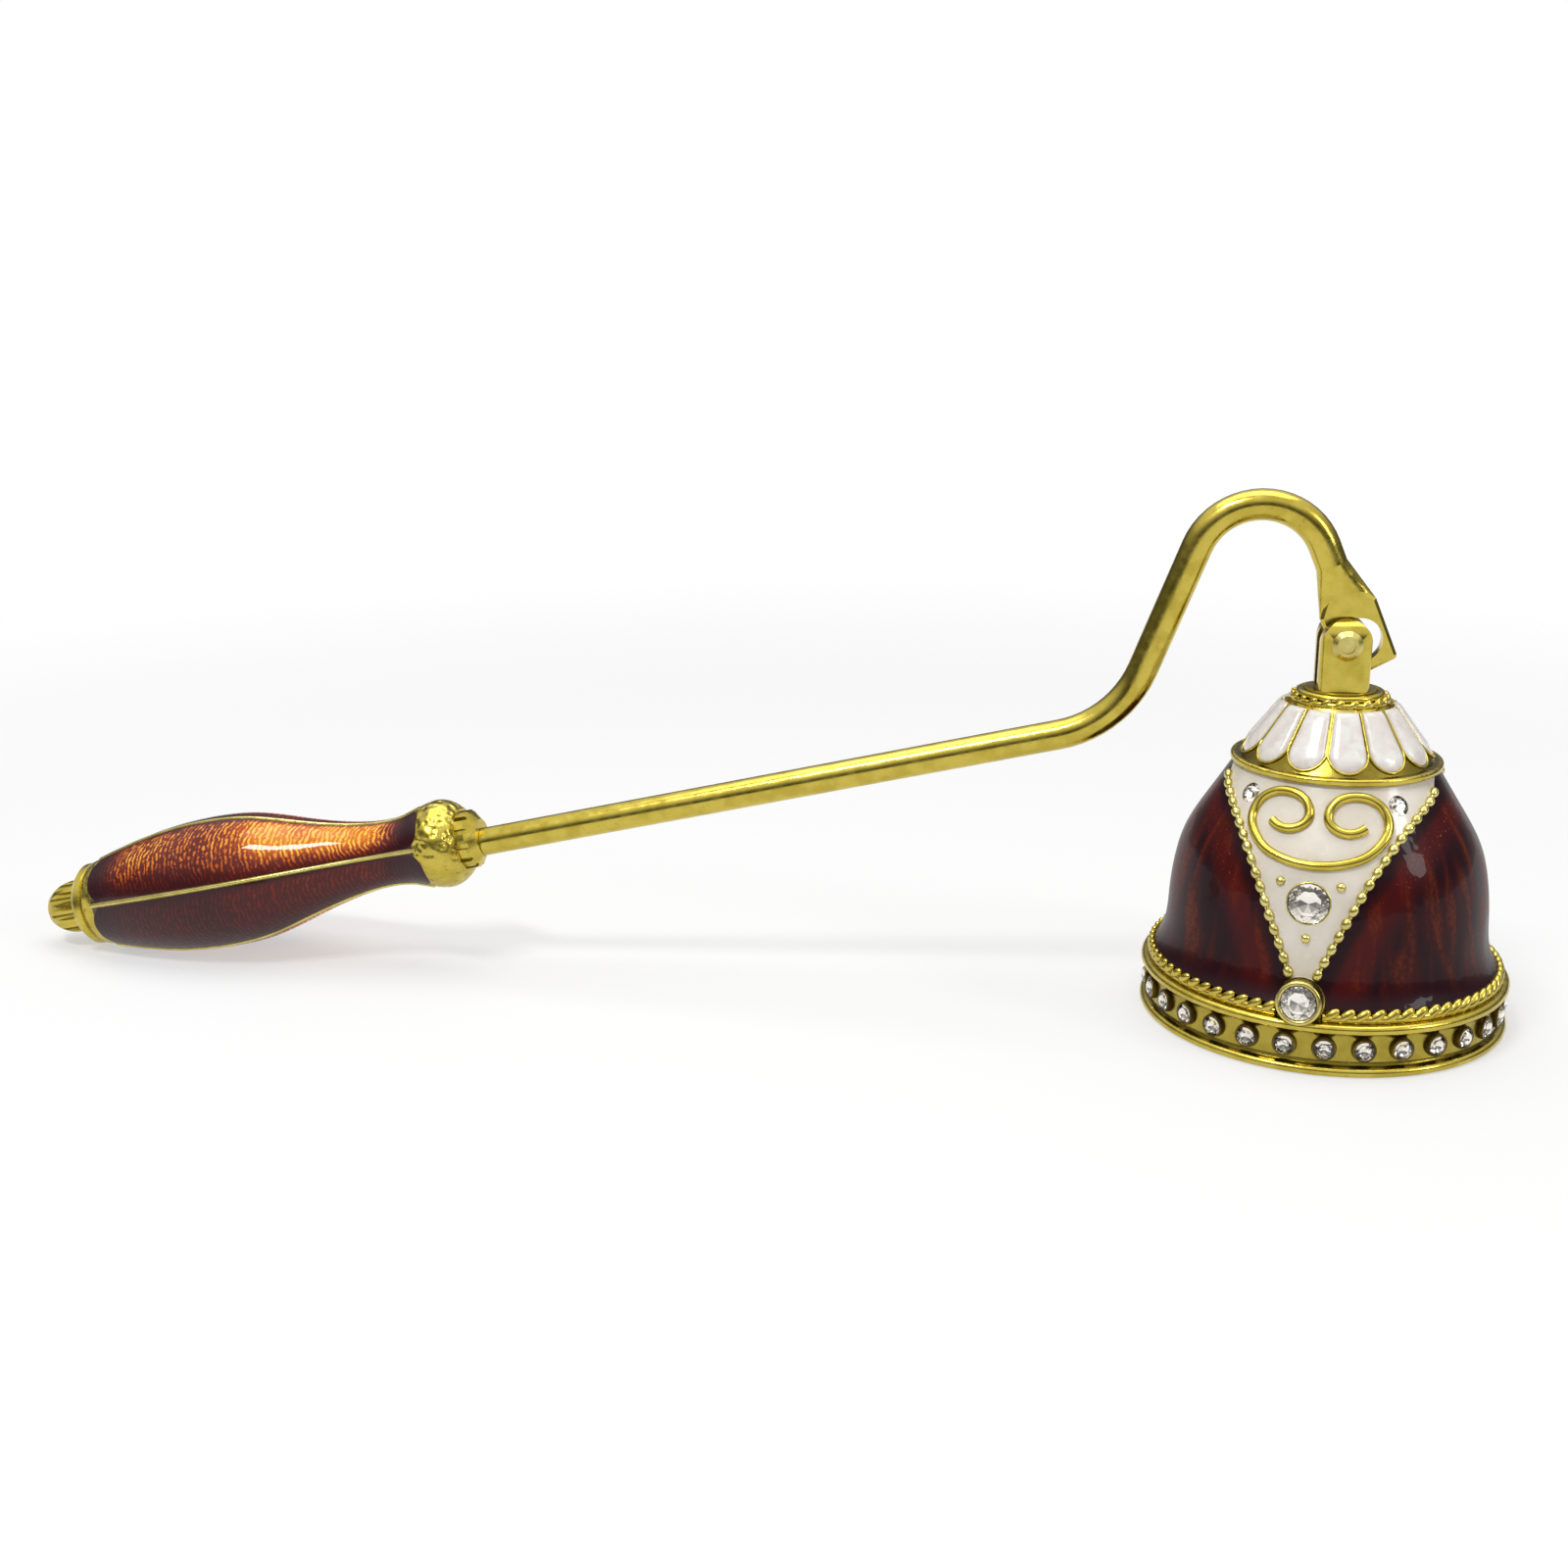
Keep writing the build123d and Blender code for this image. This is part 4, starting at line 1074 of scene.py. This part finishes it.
def room():
    """Bright overhead and dim at eye level, as in a room, but white to the camera."""
    world = bpy.data.worlds.new("studio")
    bpy.context.scene.world = world
    world.use_nodes = True
    tree = world.node_tree
    back = tree.nodes["Background"]

    def made(kind, *values, **settings):
        node = tree.nodes.new(kind)
        for name, value in settings.items():
            setattr(node, name, value)
        for socket, value in zip(node.inputs, values):
            if isinstance(value, bpy.types.NodeSocket):
                tree.links.new(value, socket)
            else:
                socket.default_value = value
        return node

    def larger(one, other):
        return made("ShaderNodeMath", one, other, operation="MAXIMUM").outputs[0]

    ray = made("ShaderNodeLightPath").outputs
    mirrored = larger(ray["Is Glossy Ray"], ray["Is Transmission Ray"])
    seen = larger(ray["Is Camera Ray"], mirrored)
    strength = made("ShaderNodeMapRange", seen, 0.0, 1.0, SOFT_LIGHT, SEEN_LIGHT)
    tree.links.new(strength.outputs[0], back.inputs["Strength"])

    direction = made("ShaderNodeTexCoord").outputs["Generated"]
    height = made("ShaderNodeSeparateXYZ", direction).outputs[2]
    ramp = made("ShaderNodeValToRGB", height)
    stops = ramp.color_ramp.elements
    while len(stops) < len(ROOM):
        stops.new(0.5)
    for stop, (place, level) in zip(stops, ROOM):
        stop.position, stop.color = place, (level, level, level, 1)
    mix = made("ShaderNodeMix", data_type="RGBA")
    tree.links.new(ray["Is Camera Ray"], mix.inputs[0])
    tree.links.new(ramp.outputs[0], mix.inputs[6])
    mix.inputs[7].default_value = (1, 1, 1, 1)
    tree.links.new(mix.outputs[2], back.inputs["Color"])


# The lamps: place, aim, width, height and watts
LAMPS = {
    "key": ((-0.22, -0.26, 0.53), OBJECT_MIDDLE, 0.20, 0.07, 1.5),
    "top": ((-0.05, 0.10, 0.60), OBJECT_MIDDLE, 0.70, 0.40, 2.0),
    "side": ((0.45, -0.20, 0.30), (-0.02, 0, 0.02), 0.10, 0.20, 0.6),
}


def lamp(name, place, aim, width, height, watts):
    data = bpy.data.lights.new(name, "AREA")
    data.shape = "RECTANGLE"
    data.size, data.size_y, data.energy = width, height, watts
    thing = bpy.data.objects.new(name, data)
    thing.location = place
    direction = Vector(aim) - Vector(place)
    thing.rotation_euler = direction.to_track_quat("-Z", "Y").to_euler()
    bpy.context.scene.collection.objects.link(thing)


def camera():
    """The photograph's view: the eye and its directions were fitted to the outlines."""
    eye = Vector((-28.43, -204.21, 82.34)) * MM
    forward = Vector((-0.16741, 0.94941, -0.26572))
    right = Vector((0.98481, 0.17365, 0.0))
    up = right.cross(forward)
    roll = radians(-0.76)
    across = cos(roll) * right + sin(roll) * up
    above = -sin(roll) * right + cos(roll) * up
    data = bpy.data.cameras.new("camera")
    data.lens, data.sensor_width = 40.5, 36.0
    data.clip_start, data.clip_end = 0.01, 20.0
    thing = bpy.data.objects.new("camera", data)
    turn = Matrix((across, above, -forward)).transposed().to_4x4()
    thing.matrix_world = Matrix.Translation(eye) @ turn
    bpy.context.scene.collection.objects.link(thing)
    bpy.context.scene.camera = thing


floor()
room()
camera()
for name, settings in LAMPS.items():
    lamp(name, *settings)
bpy.context.scene.view_settings.view_transform = "Standard"
